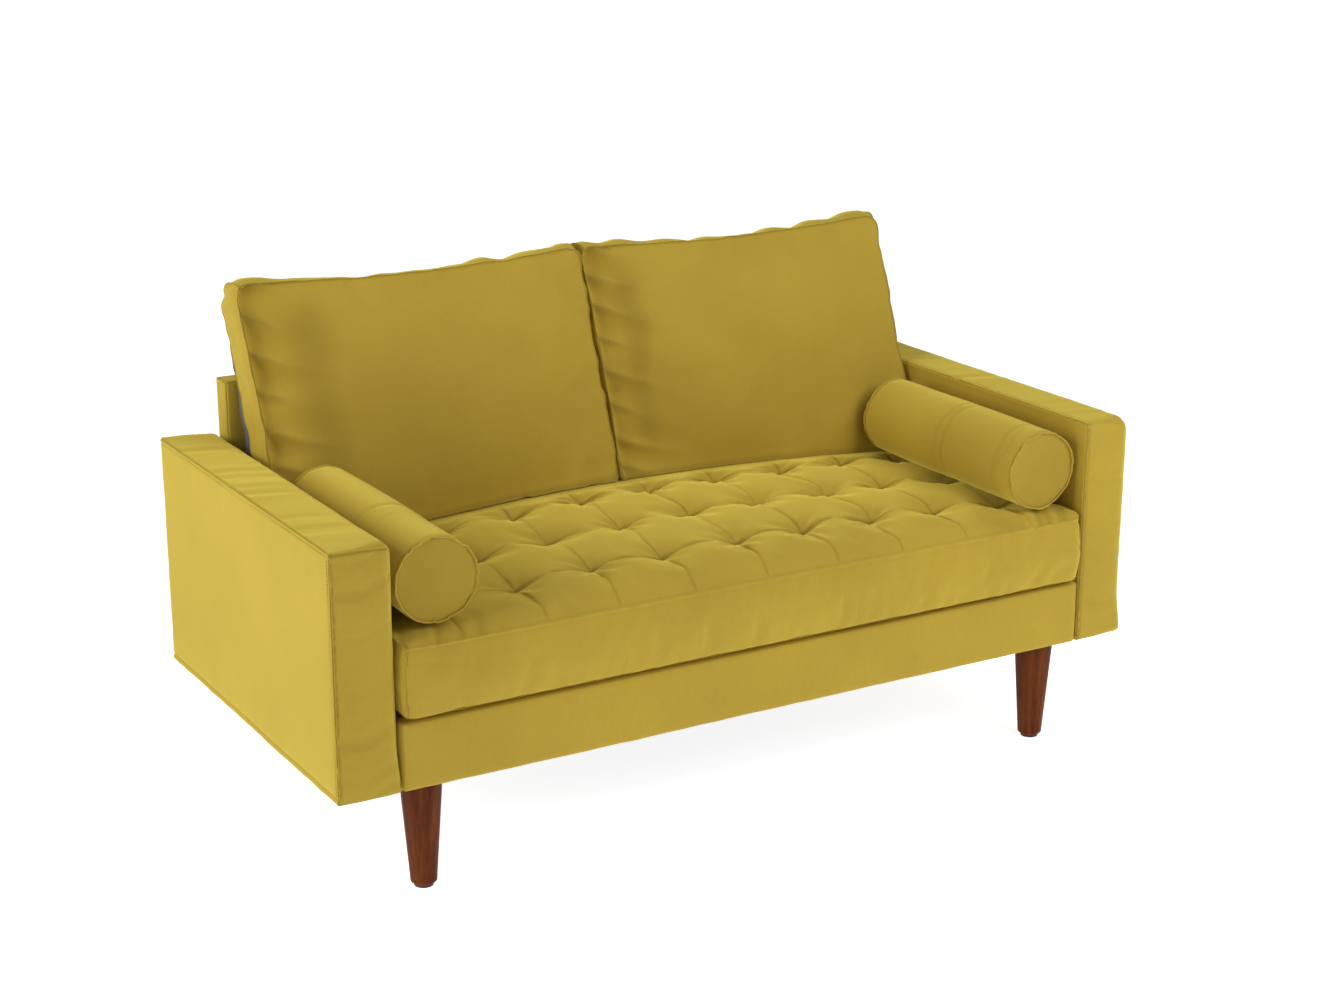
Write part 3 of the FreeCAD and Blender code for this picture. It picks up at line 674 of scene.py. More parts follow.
def tuft_shape(x, y):
    """(drop, painted shade) of the tufts and of the creases that join them.

    Behind each fold the next pad starts with a short steep wall, and before it the pad
    slopes down slowly. The wall stays in shade, and shade is painted on it, along the
    columns and in the tuft pits."""
    drop = np.zeros_like(x)
    dark = np.zeros_like(x)
    random = np.random.default_rng(21)
    for tx in TUFT_X:
        for ty in TUFT_Y:
            deep = random.uniform(0.8, 1.2)
            faint = random.uniform(0.55, 1.0, 2)
            turn = random.uniform(0, 2 * np.pi)
            fan = random.uniform(0.4, 2.0)
            dx = x - tx
            dy = y - ty
            away = np.hypot(dx, dy)
            oval = np.hypot(dx / 0.034, dy / np.where(dy < 0, 0.020, 0.032))
            dimple = 0.0125 * deep * np.exp(-(oval**1.2))
            rays = fan * 0.0014 * np.cos(7 * np.arctan2(dy, dx) + turn) * hump(away - 0.027, 0.016)
            joined = 0.45 if ty == TUFT_Y[0] and -0.3 < tx < 0.2 else 0.0
            fade_row = np.maximum(np.clip(1 - abs(dx) / 0.062, 0, 1), joined * (abs(dx) < 0.067))
            row = 0.0050 * deep * fade_row * np.exp(-abs(dy) / np.where(dy > 0, 0.0034, 0.013))
            fade_column = np.clip(1 - abs(dy) / np.where(dy < 0, 0.070, 0.125), 0, 1) ** 0.7
            fade_column = fade_column * np.where(dy < 0, faint[0] * 0.7, faint[1])
            column = 0.0036 * fade_column * np.exp(-abs(dx) / np.where(dx > 0, 0.0028, 0.011))
            drop = np.maximum(drop, dimple + rays + 0.6 * np.maximum(row, column))
            drop = np.maximum(drop, np.maximum(row, column))
            width = np.where(dy > 0.0025, 0.0055, 0.0030)
            row_shade = 0.95 * fade_row**0.8 * hump(dy - 0.0025, width)
            line = np.where(dx > 0.001, 0.0034, 0.0015)
            column_shade = 0.75 * fade_column * hump(dx - 0.001, line)
            pit = 0.25 * np.exp(-(oval**1.6))
            dark = np.maximum.reduce([dark, row_shade, column_shade, pit])
    return drop, dark


def drift(x, y):
    """How far the creases wander sideways and back from straight rows and columns."""
    inside = smooth((SEAT_HIGH[0] - abs(x)) / 0.14) * smooth((SEAT_HIGH[1] - y) / 0.08)
    inside = inside * smooth((y - SEAT_LOW[1]) / 0.05)
    creep = 0.065 * np.clip(y - TUFT_Y[0], 0, None)
    bend = 0.007 * np.sin(2 * np.pi * (y - TUFT_Y[0]) / DEPTH_PITCH) * wave(x, ACROSS_PITCH, 31)
    spot = np.stack([x, y, np.zeros_like(x)], -1)
    aside = creep + bend + 0.006 * cloud(spot, 0.09, 32)
    smile = 0.008 * np.sin(np.pi * x / ACROSS_PITCH) ** 2
    return aside * inside, (smile + 0.006 * cloud(spot, 0.09, 33)) * inside


def under_bolster(x, y, z, gap):
    """Height of the seat where a bolster presses on it."""
    for side in ("left", "right"):
        low, high = box(side + "_bolster_cover")
        radius = (high[0] - low[0]) / 2
        middle = (high[0] + low[0]) / 2
        beside = np.clip(abs(x - middle) / radius, 0, 0.98)
        floor = low[2] + radius - radius * np.sqrt(1 - beside**2) - gap
        along = smooth((y - low[1] + 0.01) / 0.02) * smooth((high[1] + 0.01 - y) / 0.02)
        pressed = np.where(abs(x - middle) < radius * 0.98, np.minimum(z, floor), z)
        z = z + (pressed - z) * along
    return z


def seat_plan(flat, part, at_rim):
    """The cushion seen from above: its boxing swells between the seams, its corners are round.

    part is the height from the bottom seam, 0, to the top one, 1."""
    corner = 0.012
    centre = (SEAT_LOW + SEAT_HIGH) / 2
    level = np.stack([flat[:, 0], flat[:, 1], np.full(len(flat), centre[2])], -1)
    inner_low = SEAT_LOW + (0.004, 0.004, 0)
    inner_high = SEAT_HIGH - (0.004, 0.004, 0)
    plan = np.clip(level, inner_low, inner_high)
    core = np.clip(plan, inner_low + (corner, corner, 0), inner_high - (corner, corner, 0))
    away = plan - core
    length = np.linalg.norm(away, axis=1, keepdims=True)
    largest = np.abs(away).max(1, keepdims=True)
    pulled = core + away * np.where(length > 1e-9, largest / np.maximum(length, 1e-9), 1)
    plan = plan + (pulled - plan) * smooth((largest / corner - 0.2) / 0.8)
    swell = 0.0055 * np.sin(np.pi * np.clip(part, 0, 1)) ** 0.7
    out = away / np.maximum(length, 1e-9)
    return plan + np.where(at_rim[:, None], out * swell[:, None], 0)


def seat_shape(flat):
    """Points of the seat cushion from points of its box, and the painted shade in its creases."""
    x, y, z = flat.T
    top = seat_crown(x, y)
    drop, dark = tuft_shape(x, y)
    rim = np.minimum.reduce([x - SEAT_LOW[0], SEAT_HIGH[0] - x, y - SEAT_LOW[1], SEAT_HIGH[1] - y])
    held = smooth(rim / 0.02)
    top = top - held * drop
    part = (z - SEAT_LOW[2]) / (SEAT_HIGH[2] - SEAT_LOW[2])
    height = SEAT_LOW[2] + part * (top - SEAT_LOW[2])
    plan = seat_plan(flat, part, rim < 1e-6)
    aside, back = drift(x, y)
    on_top = part > 0.999
    points = np.stack([plan[:, 0] + aside * on_top, plan[:, 1] + back * on_top, height], -1)
    return points, dark * held * on_top


def seat_settling(step, lines):
    """How far the cloth of the seat cushion settles between its ties, on a Shell of lines."""
    sizes = SEAT_HIGH[:2] - SEAT_LOW[:2]
    counts = [round(size / step) + 1 for size in sizes] + [13]
    coarse = Shell(*map(np.linspace, SEAT_LOW, SEAT_HIGH, counts))
    start, _ = seat_shape(coarse.flat)
    x, y, _ = coarse.flat.T
    on = Faces(coarse)
    nearest_x = np.min([abs(x - t) for t in TUFT_X], 0)
    nearest_y = np.min([abs(y - t) for t in TUFT_Y], 0)
    tied = np.hypot(nearest_x, nearest_y) < step * 0.75
    rim = coarse.edge_distance() < 1e-6
    pinned = tied | rim | on.bottom | (y > 0.22)
    found = settle(start, coarse.quads, pinned, 2.5, 0.02, 12, 3.0)
    move = evened(coarse, capped(start, found, 0.0045) - start, 1)
    move[pinned & ~on.top] = 0
    return coarse.fine(move, lines)[1]


def seat_pleats(x, y):
    """(depth, painted shade) of the pleats from the front row of tufts down to the front seam."""
    forward = smooth((TUFT_Y[0] - y) / 0.03) * smooth((y - SEAT_LOW[1]) / 0.012)
    pleat = np.zeros_like(x)
    for n, tx in enumerate(TUFT_X):
        bend = 0.006 * smooth((TUFT_Y[0] - y) / 0.12) * wave(np.array([n * 3.1]), 1, 870)[0]
        off = x - tx - bend
        pleat = np.maximum(pleat, hump(off, np.where(off > 0, 0.0020, 0.0050)))
    return 0.0020 * forward * pleat, 0.30 * forward * pleat**3


def seat_slack(x, y, z):
    """(rise on top, rise in front, painted shade in the valleys) of the slack cloth at the front
    corners.
    """
    ahead = y - SEAT_LOW[1]
    slack = wave(x - 0.35 * ahead, 0.0115, 890) * np.exp(-ahead / 0.055) * smooth(ahead / 0.004)
    slack = slack * smooth((abs(x + 0.02) - 0.42) / 0.10)
    tug = wave(0.25 * x + z, 0.014, 895) * hump(SEAT_HIGH[0] - abs(x), 0.11)
    return 0.0034 * slack, 0.0012 * tug, 0.55 * np.clip(-slack - 0.05, 0, 1)


def seat_seams(shell):
    """(rise, painted shade) of the welt round the top, the seam round the foot and their puckers.
    """
    edge = shell.edge_distance()
    near_top = shell.flat[:, 2] > SEAT_HIGH[2] - 0.03
    drop, shade = seam_line(edge, 0.0014, 0.0017)
    rise = np.where(near_top, 0.0024 * hump(edge, 0.0024), drop)
    shade = np.where(near_top, 0.3 * hump(edge - 0.0045, 0.0016), shade)
    rise = rise + puckers(shell, 0.017, 0.0011, 0.022, 800, lambda axis, ends: axis != 2)
    rise = rise + puckers(shell, 0.030, 0.0012, 0.05, 860, lambda axis, ends: axis == 0)
    return rise, shade * 0.55


def seat_rested(x, y, points, on_top):
    """The points pressed down under the bolsters and the back cushions, and kept off the deck."""
    points[:, 2] = np.where(on_top, under_bolster(x, y, points[:, 2], 0.0012), points[:, 2])
    rest = seat_arch(x) + 0.0005 + 0.10 * np.clip(0.102 - y, 0, None)
    behind = smooth((y - 0.055) / 0.02) * on_top
    points[:, 2] += behind * (np.minimum(points[:, 2], rest) - points[:, 2])
    points[:, 2] = np.maximum(points[:, 2], SEAT_LOW[2])
    return points


def make_seat_cushion():
    """One wide boxed cushion, tufted in a grid, with a sewn welt round its top."""
    near = (0.0012, 0.0026, 0.0045, 0.0075)
    shell = Shell(
        rule(SEAT_LOW[0], SEAT_HIGH[0], 0.0065, TUFT_X, near),
        rule(SEAT_LOW[1], SEAT_HIGH[1], 0.0065, TUFT_Y, near),
        rule(SEAT_LOW[2], SEAT_HIGH[2], 0.009),
    )
    points, dark = seat_shape(shell.flat)
    points = points + seat_settling(0.0095, shell.lines)
    x, y, z = shell.flat.T
    on = Faces(shell)
    rise, shade = seat_seams(shell)
    depth, pleat_dark = seat_pleats(x, y)
    slack, tug, slack_dark = seat_slack(x, y, z)
    rise = rise + on.top * (0.0009 * cloud(shell.flat, 0.06, 880) - depth + slack)
    rise = rise + on.front * tug
    dark = np.maximum.reduce([dark, on.top * pleat_dark, on.top * slack_dark, shade])
    # the cloth lies in shade where the back cushions rest on it
    dark = np.maximum(dark, 0.3 * on.top * smooth((y - 0.097) / 0.006))
    points = points + normals(points, shell.quads) * rise[:, None]
    points = seat_rested(x, y, points, on.top)
    return make_piece("seat_cushion_upholstery", "seat_cushion", points,
                      shell.quads, dark, ["seat_cushion_cover", "seat_cushion_foam"])


# ---- back cushions

LEAN = math.atan(0.39)
CUSHION_UP = np.array([0, math.sin(LEAN), math.cos(LEAN)])
CUSHION_BACK = np.array([0, math.cos(LEAN), -math.sin(LEAN)])
CUSHION_FOOT = np.array([0, 0.102, 0.410])
CUSHION_TALL = 0.4545
BOXING = 0.076
CUSHION_SEED = {"left": 900, "right": 1100}


def cushion_limits(points):
    """Keeps the cushion on the seat, before the backrest and clear of it."""
    x, y, z = points.T
    behind = 0.3145 + 0.038 * smooth((z - 0.655) / 0.045)
    y = np.minimum(y, behind)
    z = np.maximum(z, seat_arch(x) + 0.0017)
    return np.stack([x, y, z], -1)


def rounded_plan(a, b, wide, tall, radius):
    """A rectangle's points pulled into one with round corners. The corner's lines stay inside."""
    from_a = np.minimum(np.maximum(radius - a, 0), radius) - np.maximum(a - wide + radius, 0)
    from_b = np.minimum(np.maximum(radius - b, 0), radius) - np.maximum(b - tall + radius, 0)
    length = np.hypot(from_a, from_b)
    largest = np.maximum(abs(from_a), abs(from_b))
    less = 1 - largest / np.maximum(length, 1e-9)
    return a + from_a * less, b + from_b * less


def cushion_shape(flat, side, low, wide):
    """Points of a back cushion from points of its box: across, up and through it."""
    u, w, t = flat.T
    across = u / wide
    up = w / CUSHION_TALL
    back = t / BOXING
    centred = 2 * across - 1
    outer = (across < 0.5) == (side == "left")
    # the outline: the top sags between its ears, and the sides draw in a little
    u, w = rounded_plan(u, w, wide, CUSHION_TALL, 0.012 + 0.014 * smooth(up))
    sag = 0.013 * np.sin(np.pi * across) ** 0.8 * smooth((up - 0.3) / 0.7)
    waist = np.where(outer, 0.006, 0.0025) * np.sin(np.pi * up)
    waist = waist * np.sign(0.5 - across) * abs(centred) ** 6
    # the front swells, and the back fills the room before the backrest
    round_front = 0.044 * (1 - abs(centred) ** 2.1) * (1 - abs(2 * up - 1) ** 2.1)
    middle = np.clip(1 - abs(centred) ** 14, 0, 1)
    tall = np.clip(1 - up**4, 0, 1) ** 0.8
    full = 0.140 * middle * tall * (0.55 + 0.45 * smooth(up / 0.3))
    foot = 0.045 * smooth(1 - up / 0.25)
    thick = t + (full + foot) * back - round_front * (1 - back)
    # the boxing puffs out over its top, and less at its sides
    puff = np.sin(np.pi * back) ** 0.6
    lumps = 0.65 + 0.6 * centred**2 + 0.3 * wave(u, 0.045, CUSHION_SEED[side] + 9)
    w = w + 0.014 * puff * lumps * smooth((up - 0.985) / 0.015)
    bulge = np.where(outer, 0.005, 0.0016)
    u = u + bulge * puff * np.where(across < 0.001, -1, np.where(across > 0.999, 1, 0))
    points = CUSHION_FOOT + (w - sag)[:, None] * CUSHION_UP + thick[:, None] * CUSHION_BACK
    points[:, 0] = low[0] + u + waist
    # stand the foot on the seat
    rest = seat_arch(points[:, 0]) + 0.0017
    base = CUSHION_FOOT[2] - thick * math.sin(LEAN)
    lift = np.maximum(rest - base, 0) / math.cos(LEAN) * np.clip(1 - up / 0.85, 0, 1)
    return cushion_limits(points + lift[:, None] * CUSHION_UP)


def cushion_seams(shell, seed):
    """(rise, painted shade) of the seams round the boxing and the puckers beside them."""
    drop, shade = seam_line(shell.edge_distance(), 0.0017, 0.0017)
    rise = drop + puckers(shell, 0.017, 0.0014, 0.02, seed, lambda axis, ends: axis != 2)
    rise = rise + puckers(shell, 0.021, 0.0022, 0.016, seed + 600,
                          lambda axis, ends: axis == 1 and ends[1] == 0)
    rise = rise + puckers(shell, 0.040, 0.0030, 0.035, seed + 400, lambda axis, ends: axis != 2)
    return rise, shade * 0.85


def cushion_front(u, w, wide, side):
    """(rise, painted shade) of the front's folds and a shallow band, with shade painted in patches.
    """
    seed = CUSHION_SEED[side]
    up = w / CUSHION_TALL
    # long soft folds fan in from the left seam and the lower corners
    place_down = w + 0.40 * u + 0.012 * wave(w, 0.09, seed + 4)
    lobes = abs(np.cos(np.pi * place_down / 0.062)) ** 0.7
    strong = 0.7 + 0.5 * wave(w, 0.06, seed + 5)
    pull = lobes * strong * np.exp(-((u / 0.075) ** 2)) * smooth(u / 0.010)
    fan = wave(u - 0.35 * w, 0.034, seed + 6) * np.exp(-w / 0.08) * smooth(u / wide * 1.4)
    corner = wave(u + 0.30 * w, 0.019, seed + 7) * np.exp(-w / 0.06 - (wide - u) / 0.11)
    hang = wave(u + 0.25 * w, 0.032, seed + 10) * np.exp(-(CUSHION_TALL - w) / 0.045)
    rise = 0.0180 * pull + 0.0028 * fan + 0.0040 * corner + 0.0016 * hang
    # painted shade in a broad patch on the front, in the pockets between the left folds, along a
    # band and at the foot
    middle, broad = (0.42, 0.30) if side == "left" else (0.14, 0.22)
    nap_and_painted_shade = 0.24 * hump(u / wide - middle + 0.25 * (up - 0.4), broad) * hump(up - 0.32, 0.42)
    nap_and_painted_shade = np.maximum(nap_and_painted_shade, 0.75 * (1 - lobes) * np.exp(-((u / 0.045) ** 2)))
    place_band, half_band = (0.100, 0.050) if side == "left" else (0.072, 0.030)
    ends = smooth(up / 0.25) * smooth((1 - up) / 0.18)
    band = hump(u - place_band - 0.008 * wave(w, 0.05, seed + 11), half_band) * ends
    nap_and_painted_shade = np.maximum.reduce([nap_and_painted_shade, 0.42 * band, 0.55 * hump(w, 0.012)])
    return rise - 0.0035 * band, nap_and_painted_shade


def make_back_cushion(side):
    """A boxed feather cushion leaning back: velvet in front and round the sides, lining behind."""
    low, high = box(side + "_back_cushion_cover")
    wide = high[0] - low[0]
    step = 0.0095
    sizes = (wide, CUSHION_TALL, BOXING)
    counts = (round(wide / step), round(CUSHION_TALL / step), 9)
    coarse = Shell(*(np.linspace(0, size, count + 1) for size, count in zip(sizes, counts)))
    start = cushion_shape(coarse.flat, side, low, wide)
    move = np.zeros_like(start)
    rim = coarse.edge_distance() < 1e-6
    found = settle(start, coarse.quads, rim, 3.0, 0.015, 16, 8.0)
    move = evened(coarse, capped(start, found, 0.005) - start, 6)
    lines = [rule(0, size, 0.0055) for size in sizes]
    fine, points = coarse.fine(start + move, lines)
    points = cushion_limits(points)
    u, w, _ = fine.flat.T
    on_front = Faces(fine).bottom
    seed = CUSHION_SEED[side]
    rise, shade = cushion_seams(fine, seed)
    front_rise, nap_and_painted_shade = cushion_front(u, w, wide, side)
    rise = rise + on_front * front_rise + 0.0008 * cloud(fine.flat, 0.16, seed + 8)
    dark = np.maximum(shade, on_front * nap_and_painted_shade)
    points = cushion_limits(points + normals(points, fine.quads) * rise[:, None])
    # the rear face is lining, and the rest is velvet
    lining_from = len(fine.quads) - len(fine.face(2, -1))
    body = side + "_back_cushion"
    part_of(body + "_velvet", body, "mustard_velvet", points, fine.quads[:lining_from], dark,
            [body + "_cover", body + "_fill"])
    part_of(body + "_rear_lining", body, "grey_lining", points, fine.quads[lining_from:], dark,
            [body + "_lining"])


def part_of(name, body, slot, points, faces, dark, nodes):
    """A piece made of some of the faces of a cushion, with only their own points."""
    used, faces = np.unique(faces, return_inverse=True)
    faces = faces.reshape(-1, 4)
    return make_piece(name, body, points[used], faces, dark[used], nodes, slot)


# ---- bolsters


BOLSTER_DENTS = {  # share of the length, depth and the angle it faces
    "left": ((0.42, 1.0, 0.5), (0.30, 0.45, 2.4)),
    "right": ((0.46, 1.0, 1.9), (0.505, 0.8, 1.7), (0.12, 0.9, 2.0), (0.085, 0.6, 1.6)),
}


def bolster_profile(radius, length):
    """(radius, place along) from the middle of one end to the middle of the other."""
    lip = 0.0032
    shares = (0.03, 0.15, 0.28, 0.4, 0.52, 0.63, 0.72, 0.8, 0.86, 0.91)
    disc = [(radius * share, lip + 0.0005) for share in shares]
    rim = [(radius - 0.0046, lip), (radius - 0.0026, lip - 0.0012), (radius - 0.0006, 0.0004),
           (radius + 0.0002, 0.0018), (radius - 0.0004, 0.0036), (radius - 0.0024, 0.0052)]
    start = disc + rim + [(radius - 0.0012, 0.0075), (radius - 0.0003, 0.011)]
    body = [(radius, s) for s in np.linspace(0.017, length - 0.017, 80)]
    return np.array(start + body + [(r, length - s) for r, s in start[::-1]])


def bolster_dents(side, ring, angle, length, seed):
    """How deep the soft creases across the tube are, from 0 to about 1."""
    dents = np.zeros(len(ring))
    for share, deep, facing in BOLSTER_DENTS[side]:
        wander = 0.006 * cloud(ring, 0.035, seed + 3 + int(share * 100))
        near = hump(ring[:, 2] - share * length - wander, 0.0045)
        dents += deep * near * (0.5 + 0.5 * np.cos(angle - facing - 0.6)) ** 1.5
    return dents


def make_bolster(side):
    """A velvet tube with two sewn end discs."""
    low, high = box(side + "_bolster_cover")
    radius = (high[0] - low[0]) / 2 - 0.0006
    middle, _, centre = (high + low) / 2
    length = high[1] - low[1]
    seed = 1300 if side == "left" else 1500
    profile = bolster_profile(radius, length)
    around = 144
    r, s = np.repeat(profile, around, 0).T
    a = np.tile(np.linspace(0, 2 * np.pi, around, endpoint=False), len(profile))
    from_end = np.minimum(s, length - s)
    on_tube = r > radius - 0.0030
    # folds gather at the end seams; they close round the tube because the noise is on a circle
    ring = np.stack([np.cos(a) * radius, np.sin(a) * radius, s], -1)
    gather = cloud(ring, (0.009, 0.009, 0.2), seed) * np.exp(-from_end / 0.022)
    lazy = cloud(ring, (0.05, 0.05, 0.10), seed + 1)
    dents = bolster_dents(side, ring, a, length, seed)
    # painted shade in the end seams, in the ring round each end disc and in the dents
    inner = hump(r - radius + 0.0048, 0.0014) * (s < 0.01)
    dark = np.clip(0.55 * hump(from_end - 0.0052, 0.0016) + 0.55 * inner, 0, 1)
    dark = np.maximum(dark, 0.22 * np.clip(dents, 0, 1) * on_tube)
    swell = 0.0012 * np.sin(np.pi * s / length)
    rise = np.where(on_tube, 0.0011 * gather + 0.0013 * lazy - 0.0019 * dents + swell - 0.0022, 0)
    tucks = cloud(ring, (0.0065, 0.0065, 0.05), seed + 6)
    rise = rise - 0.0022 * np.clip(tucks, 0, 1) * hump(from_end - 0.0025, 0.0035)
    at_lip = hump(r - radius + 0.001, 0.0028) * (from_end < 0.006)
    r = np.minimum(r + rise, radius + 0.0006)
    # the lip is crinkled, and the end discs are dished or full
    inward = np.where(s < length / 2, 1, -1)
    s = s - 0.0015 * cloud(ring, (0.0075, 0.0075, 0.05), seed + 5) * at_lip * inward
    dish = (0.0060 if side == "right" else -0.0030) * (1 - (r / radius) ** 2)
    flat_ring = np.stack([np.cos(a) * r, np.sin(a) * r, s], -1)
    s = s + (dish + 0.0012 * cloud(flat_ring, 0.03, seed + 9)) * ~on_tube * inward
    points = np.stack([middle + r * np.cos(a), low[1] + s, centre + r * np.sin(a)], -1)
    rings = np.arange(len(profile) * around).reshape(len(profile), around)
    this, other = rings[:-1], rings[1:]
    quads = np.stack([this, np.roll(this, -1, 1), np.roll(other, -1, 1), other], -1).reshape(-1, 4)
    faces = [list(q) for q in quads] + [list(rings[0][::-1]), list(rings[-1])]
    nodes = [side + "_bolster_" + part for part in ("cover", "end_caps", "fill")]
    return make_piece(side + "_bolster_velvet", side + "_bolster", points,
                      faces, dark, nodes)


# ---- stitches


def make_stitches(name, runs):
    """Rows of thread stitches on an arm. Each run is (start, end, outward normal)."""
    thick = 0.0011
    long = 0.0042
    pitch = long + 0.0016
    sides = 6
    shape = [(-0.5, 0.05), (-0.38, 0.75), (0.0, 1.0), (0.38, 0.75), (0.5, 0.05)]
    points = []
    faces = []
    for start, end, out in runs:
        start, end, out = Vector(start), Vector(end), Vector(out)
        along = (end - start).normalized()
        across = along.cross(out).normalized()
        for n in range(int((end - start).length / pitch)):
            centre = start + along * ((n + 0.5) * pitch)
            base = len(points)
            for place, width in shape:
                for k in range(sides):
                    turn = 2 * math.pi * k / sides
                    spread = across * math.cos(turn) + out * math.sin(turn)
                    spot = centre + along * (place * long) + spread * (thick / 2 * width)
                    points.append(tuple(spot))
            for row in range(len(shape) - 1):
                for k in range(sides):
                    a = base + row * sides + k
                    b = base + row * sides + (k + 1) % sides
                    faces.append([a, a + sides, b + sides, b])
            faces.append([base + k for k in range(sides)])
            last = base + (len(shape) - 1) * sides
            faces.append([last + k for k in range(sides)][::-1])
    return make_piece(name, "frame", points, faces)


def make_arm_stitches():
    """Topstitching along the felled seam of each arm."""
    inset = 0.0017  # how deep the rows lie under the CAD's faces
    from_rear = 0.012
    from_foot = 0.014
    low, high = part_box("left_arm_cover")
    side, front, top = low[0] + inset, low[1] + ARM_BAND, high[2] - ARM_BAND
    make_stitches("left_arm_topstitch", [
        ((side, front, top), (side, high[1] - from_rear, top), (-1, 0, 0)),
        ((side, front, low[2] + from_foot), (side, front, top), (-1, 0, 0)),
    ])
    low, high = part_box("right_arm_cover")
    side, front, top = low[0] + ARM_BAND, low[1] + ARM_BAND, high[2] - inset
    make_stitches("right_arm_topstitch", [
        ((side, front, top), (side, high[1] - from_rear, top), (0, 0, 1)),
    ])


# ---- under the sofa


def make_dust_cover():
    """The black cloth stretched under the frame, which sags by a few millimetres."""
    low, high = box("dust_cover")
    xs = np.linspace(low[0], high[0], 126)
    ys = np.linspace(low[1], high[1], 70)
    x, y = (v.ravel() for v in np.meshgrid(xs, ys, indexing="ij"))
    rim = np.minimum.reduce([x - low[0], high[0] - x, y - low[1], high[1] - y])
    sag = 0.004 * smooth((rim - 0.05) / 0.2)
    flat = np.stack([x, y, np.zeros_like(x)], -1)
    tucks = 0.0007 * wave(x, 0.035, 71) * np.exp(-rim / 0.05) * smooth(rim / 0.02)
    ripples = 0.0010 * cloud(flat, 0.12, 73) * smooth((rim - 0.05) / 0.1)
    for leg in ("front_left_leg", "front_right_leg", "back_left_leg", "back_right_leg"):
        a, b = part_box(leg)
        away = np.hypot(x - (a[0] + b[0]) / 2, y - (a[1] + b[1]) / 2)
        clear = smooth((away - 0.04) / 0.06)
        sag, tucks, ripples = sag * clear, tucks * clear, ripples * clear
    z = high[2] - 0.0004 - sag - abs(tucks) - abs(ripples)
    number = np.arange(len(x)).reshape(len(xs), len(ys))
    ring = (number[:-1, :-1], number[:-1, 1:], number[1:, 1:], number[1:, :-1])
    quads = np.stack(ring, -1).reshape(-1, 4)
    points = np.stack([x, y, z], -1)
    cover = make_piece("dust_cover_sheet", "frame", points, quads, nodes=["dust_cover"],
                       slot="nonwoven_cloth")
    return cover


def make_deck_pad():
    """The thin foam pad on the springs, seen when the seat cushion is lifted off."""
    low, high = box("deck_pad")
    shell = Shell(
        rule(low[0], high[0], 0.012),
        rule(low[1], high[1], 0.012),
        np.linspace(low[2], high[2], 6),
    )
    points, out, rise = upholstered(shell, 0.006, 0.0015, 1700, 0.0005, 0.03)
    rise = rise - 0.0008 * (0.5 + 0.5 * cloud(shell.flat, 0.05, 1711))
    points = points + out * rise[:, None]
    return make_piece("deck_pad_foam", "frame", points, shell.quads,
                      nodes=["deck_pad"], slot="foam")


# ---- studio


def make_floor():
    """A wide white floor that hardly takes a shadow."""
    finish = Finish("studio_white")
    speck = finish.noise(40, 2)
    finish.wear(finish.ramp(speck, [(0.3, (0.90, 0.90, 0.90)), (0.7, (0.91, 0.91, 0.91))]))
    put(finish.shader, {"Roughness": 0.9, "Emission Color": (1, 1, 1, 1)})
    seen = finish.nodes.new("ShaderNodeLightPath").outputs["Is Camera Ray"]
    glow = finish.nodes.new("ShaderNodeMath")
    glow.operation = "MULTIPLY_ADD"
    put(glow, {1: 0.35, 2: 0.5})
    finish.join(seen, glow.inputs[0])
    finish.join(glow.outputs[0], finish.shader.inputs["Emission Strength"])
    reach = 14.0
    corners = [(reach * x, reach * y, -0.0005) for x, y in ((-1, -1), (1, -1), (1, 1), (-1, 1))]
    floor = make_mesh("studio_floor", corners, [[0, 1, 2, 3]], finish.material)


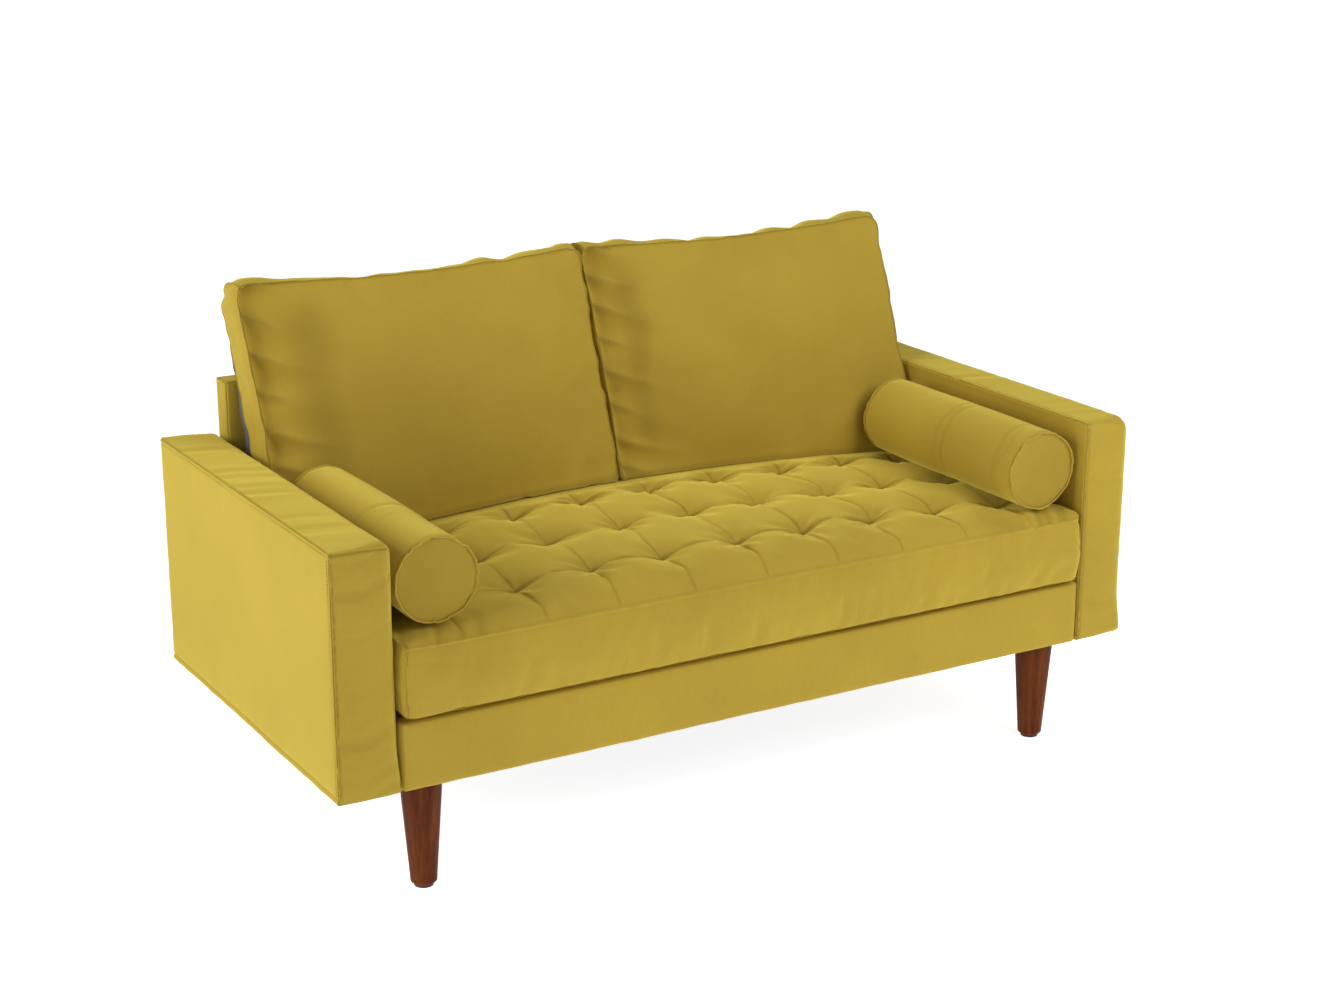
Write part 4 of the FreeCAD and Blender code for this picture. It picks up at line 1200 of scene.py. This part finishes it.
def aimed(name, data, place, ahead):
    """An object at a place that looks along a direction."""
    thing = link(bpy.data.objects.new(name, data))
    thing.location = place
    thing.rotation_euler = ahead.to_track_quat("-Z", "Y").to_euler()
    return thing


def make_light(name, place, target, size, power):
    """A square white softbox that faces the target."""
    lamp = bpy.data.lights.new(name, "AREA")
    lamp.shape = "SQUARE"
    lamp.size = size
    lamp.energy = power
    aimed(name, lamp, place, Vector(target) - Vector(place))


def make_studio():
    """The floor, three softboxes, and air that the camera alone sees as a white wall."""
    make_floor()
    world = bpy.data.worlds.new("studio_air")
    world.use_nodes = True
    nodes = world.node_tree.nodes
    join = world.node_tree.links.new
    air = nodes["Background"]
    put(air, {"Color": (1, 1, 1, 1), "Strength": 0.24})
    wall = nodes.new("ShaderNodeBackground")
    put(wall, {"Color": (1, 1, 1, 1), "Strength": 1.2})
    either = nodes.new("ShaderNodeMixShader")
    join(nodes.new("ShaderNodeLightPath").outputs["Is Camera Ray"], either.inputs[0])
    join(air.outputs[0], either.inputs[1])
    join(wall.outputs[0], either.inputs[2])
    join(either.outputs[0], nodes["World Output"].inputs["Surface"])
    bpy.context.scene.world = world
    make_light("key_left", (-3.2, -0.1, 1.65), (0, 0, 0.4), 1.7, 55)
    make_light("top_front", (1.1, -1.9, 2.0), (0, -0.1, 0.4), 1.6, 34)
    make_light("overhead", (-0.4, 0.0, 2.6), (0, 0, 0.4), 1.7, 6)


def make_camera():
    """The camera stands in front and to the left, a little above the sofa's top."""
    lens = bpy.data.cameras.new("main_camera")
    lens.sensor_width = 36.0
    lens.sensor_fit = "HORIZONTAL"
    lens.lens = 64.70
    lens.clip_start = 0.05
    lens.clip_end = 60
    place = (-1.95024, -3.35215, 1.62469)
    ahead = Vector((0.48468517, 0.82465847, -0.29157964))
    bpy.context.scene.camera = aimed("main_camera", lens, place, ahead)


# ---- the scene

make_camera()
make_studio()
dress_cad_nodes()
for side_name in ("left", "right"):
    make_arm(side_name)
    make_back_cushion(side_name)
    make_bolster(side_name)
make_arm_stitches()
make_front_rail()
make_backrest()
make_rear_panel()
make_seat_cushion()
make_deck_pad()
make_dust_cover()

bpy.context.scene.view_settings.view_transform = "Standard"
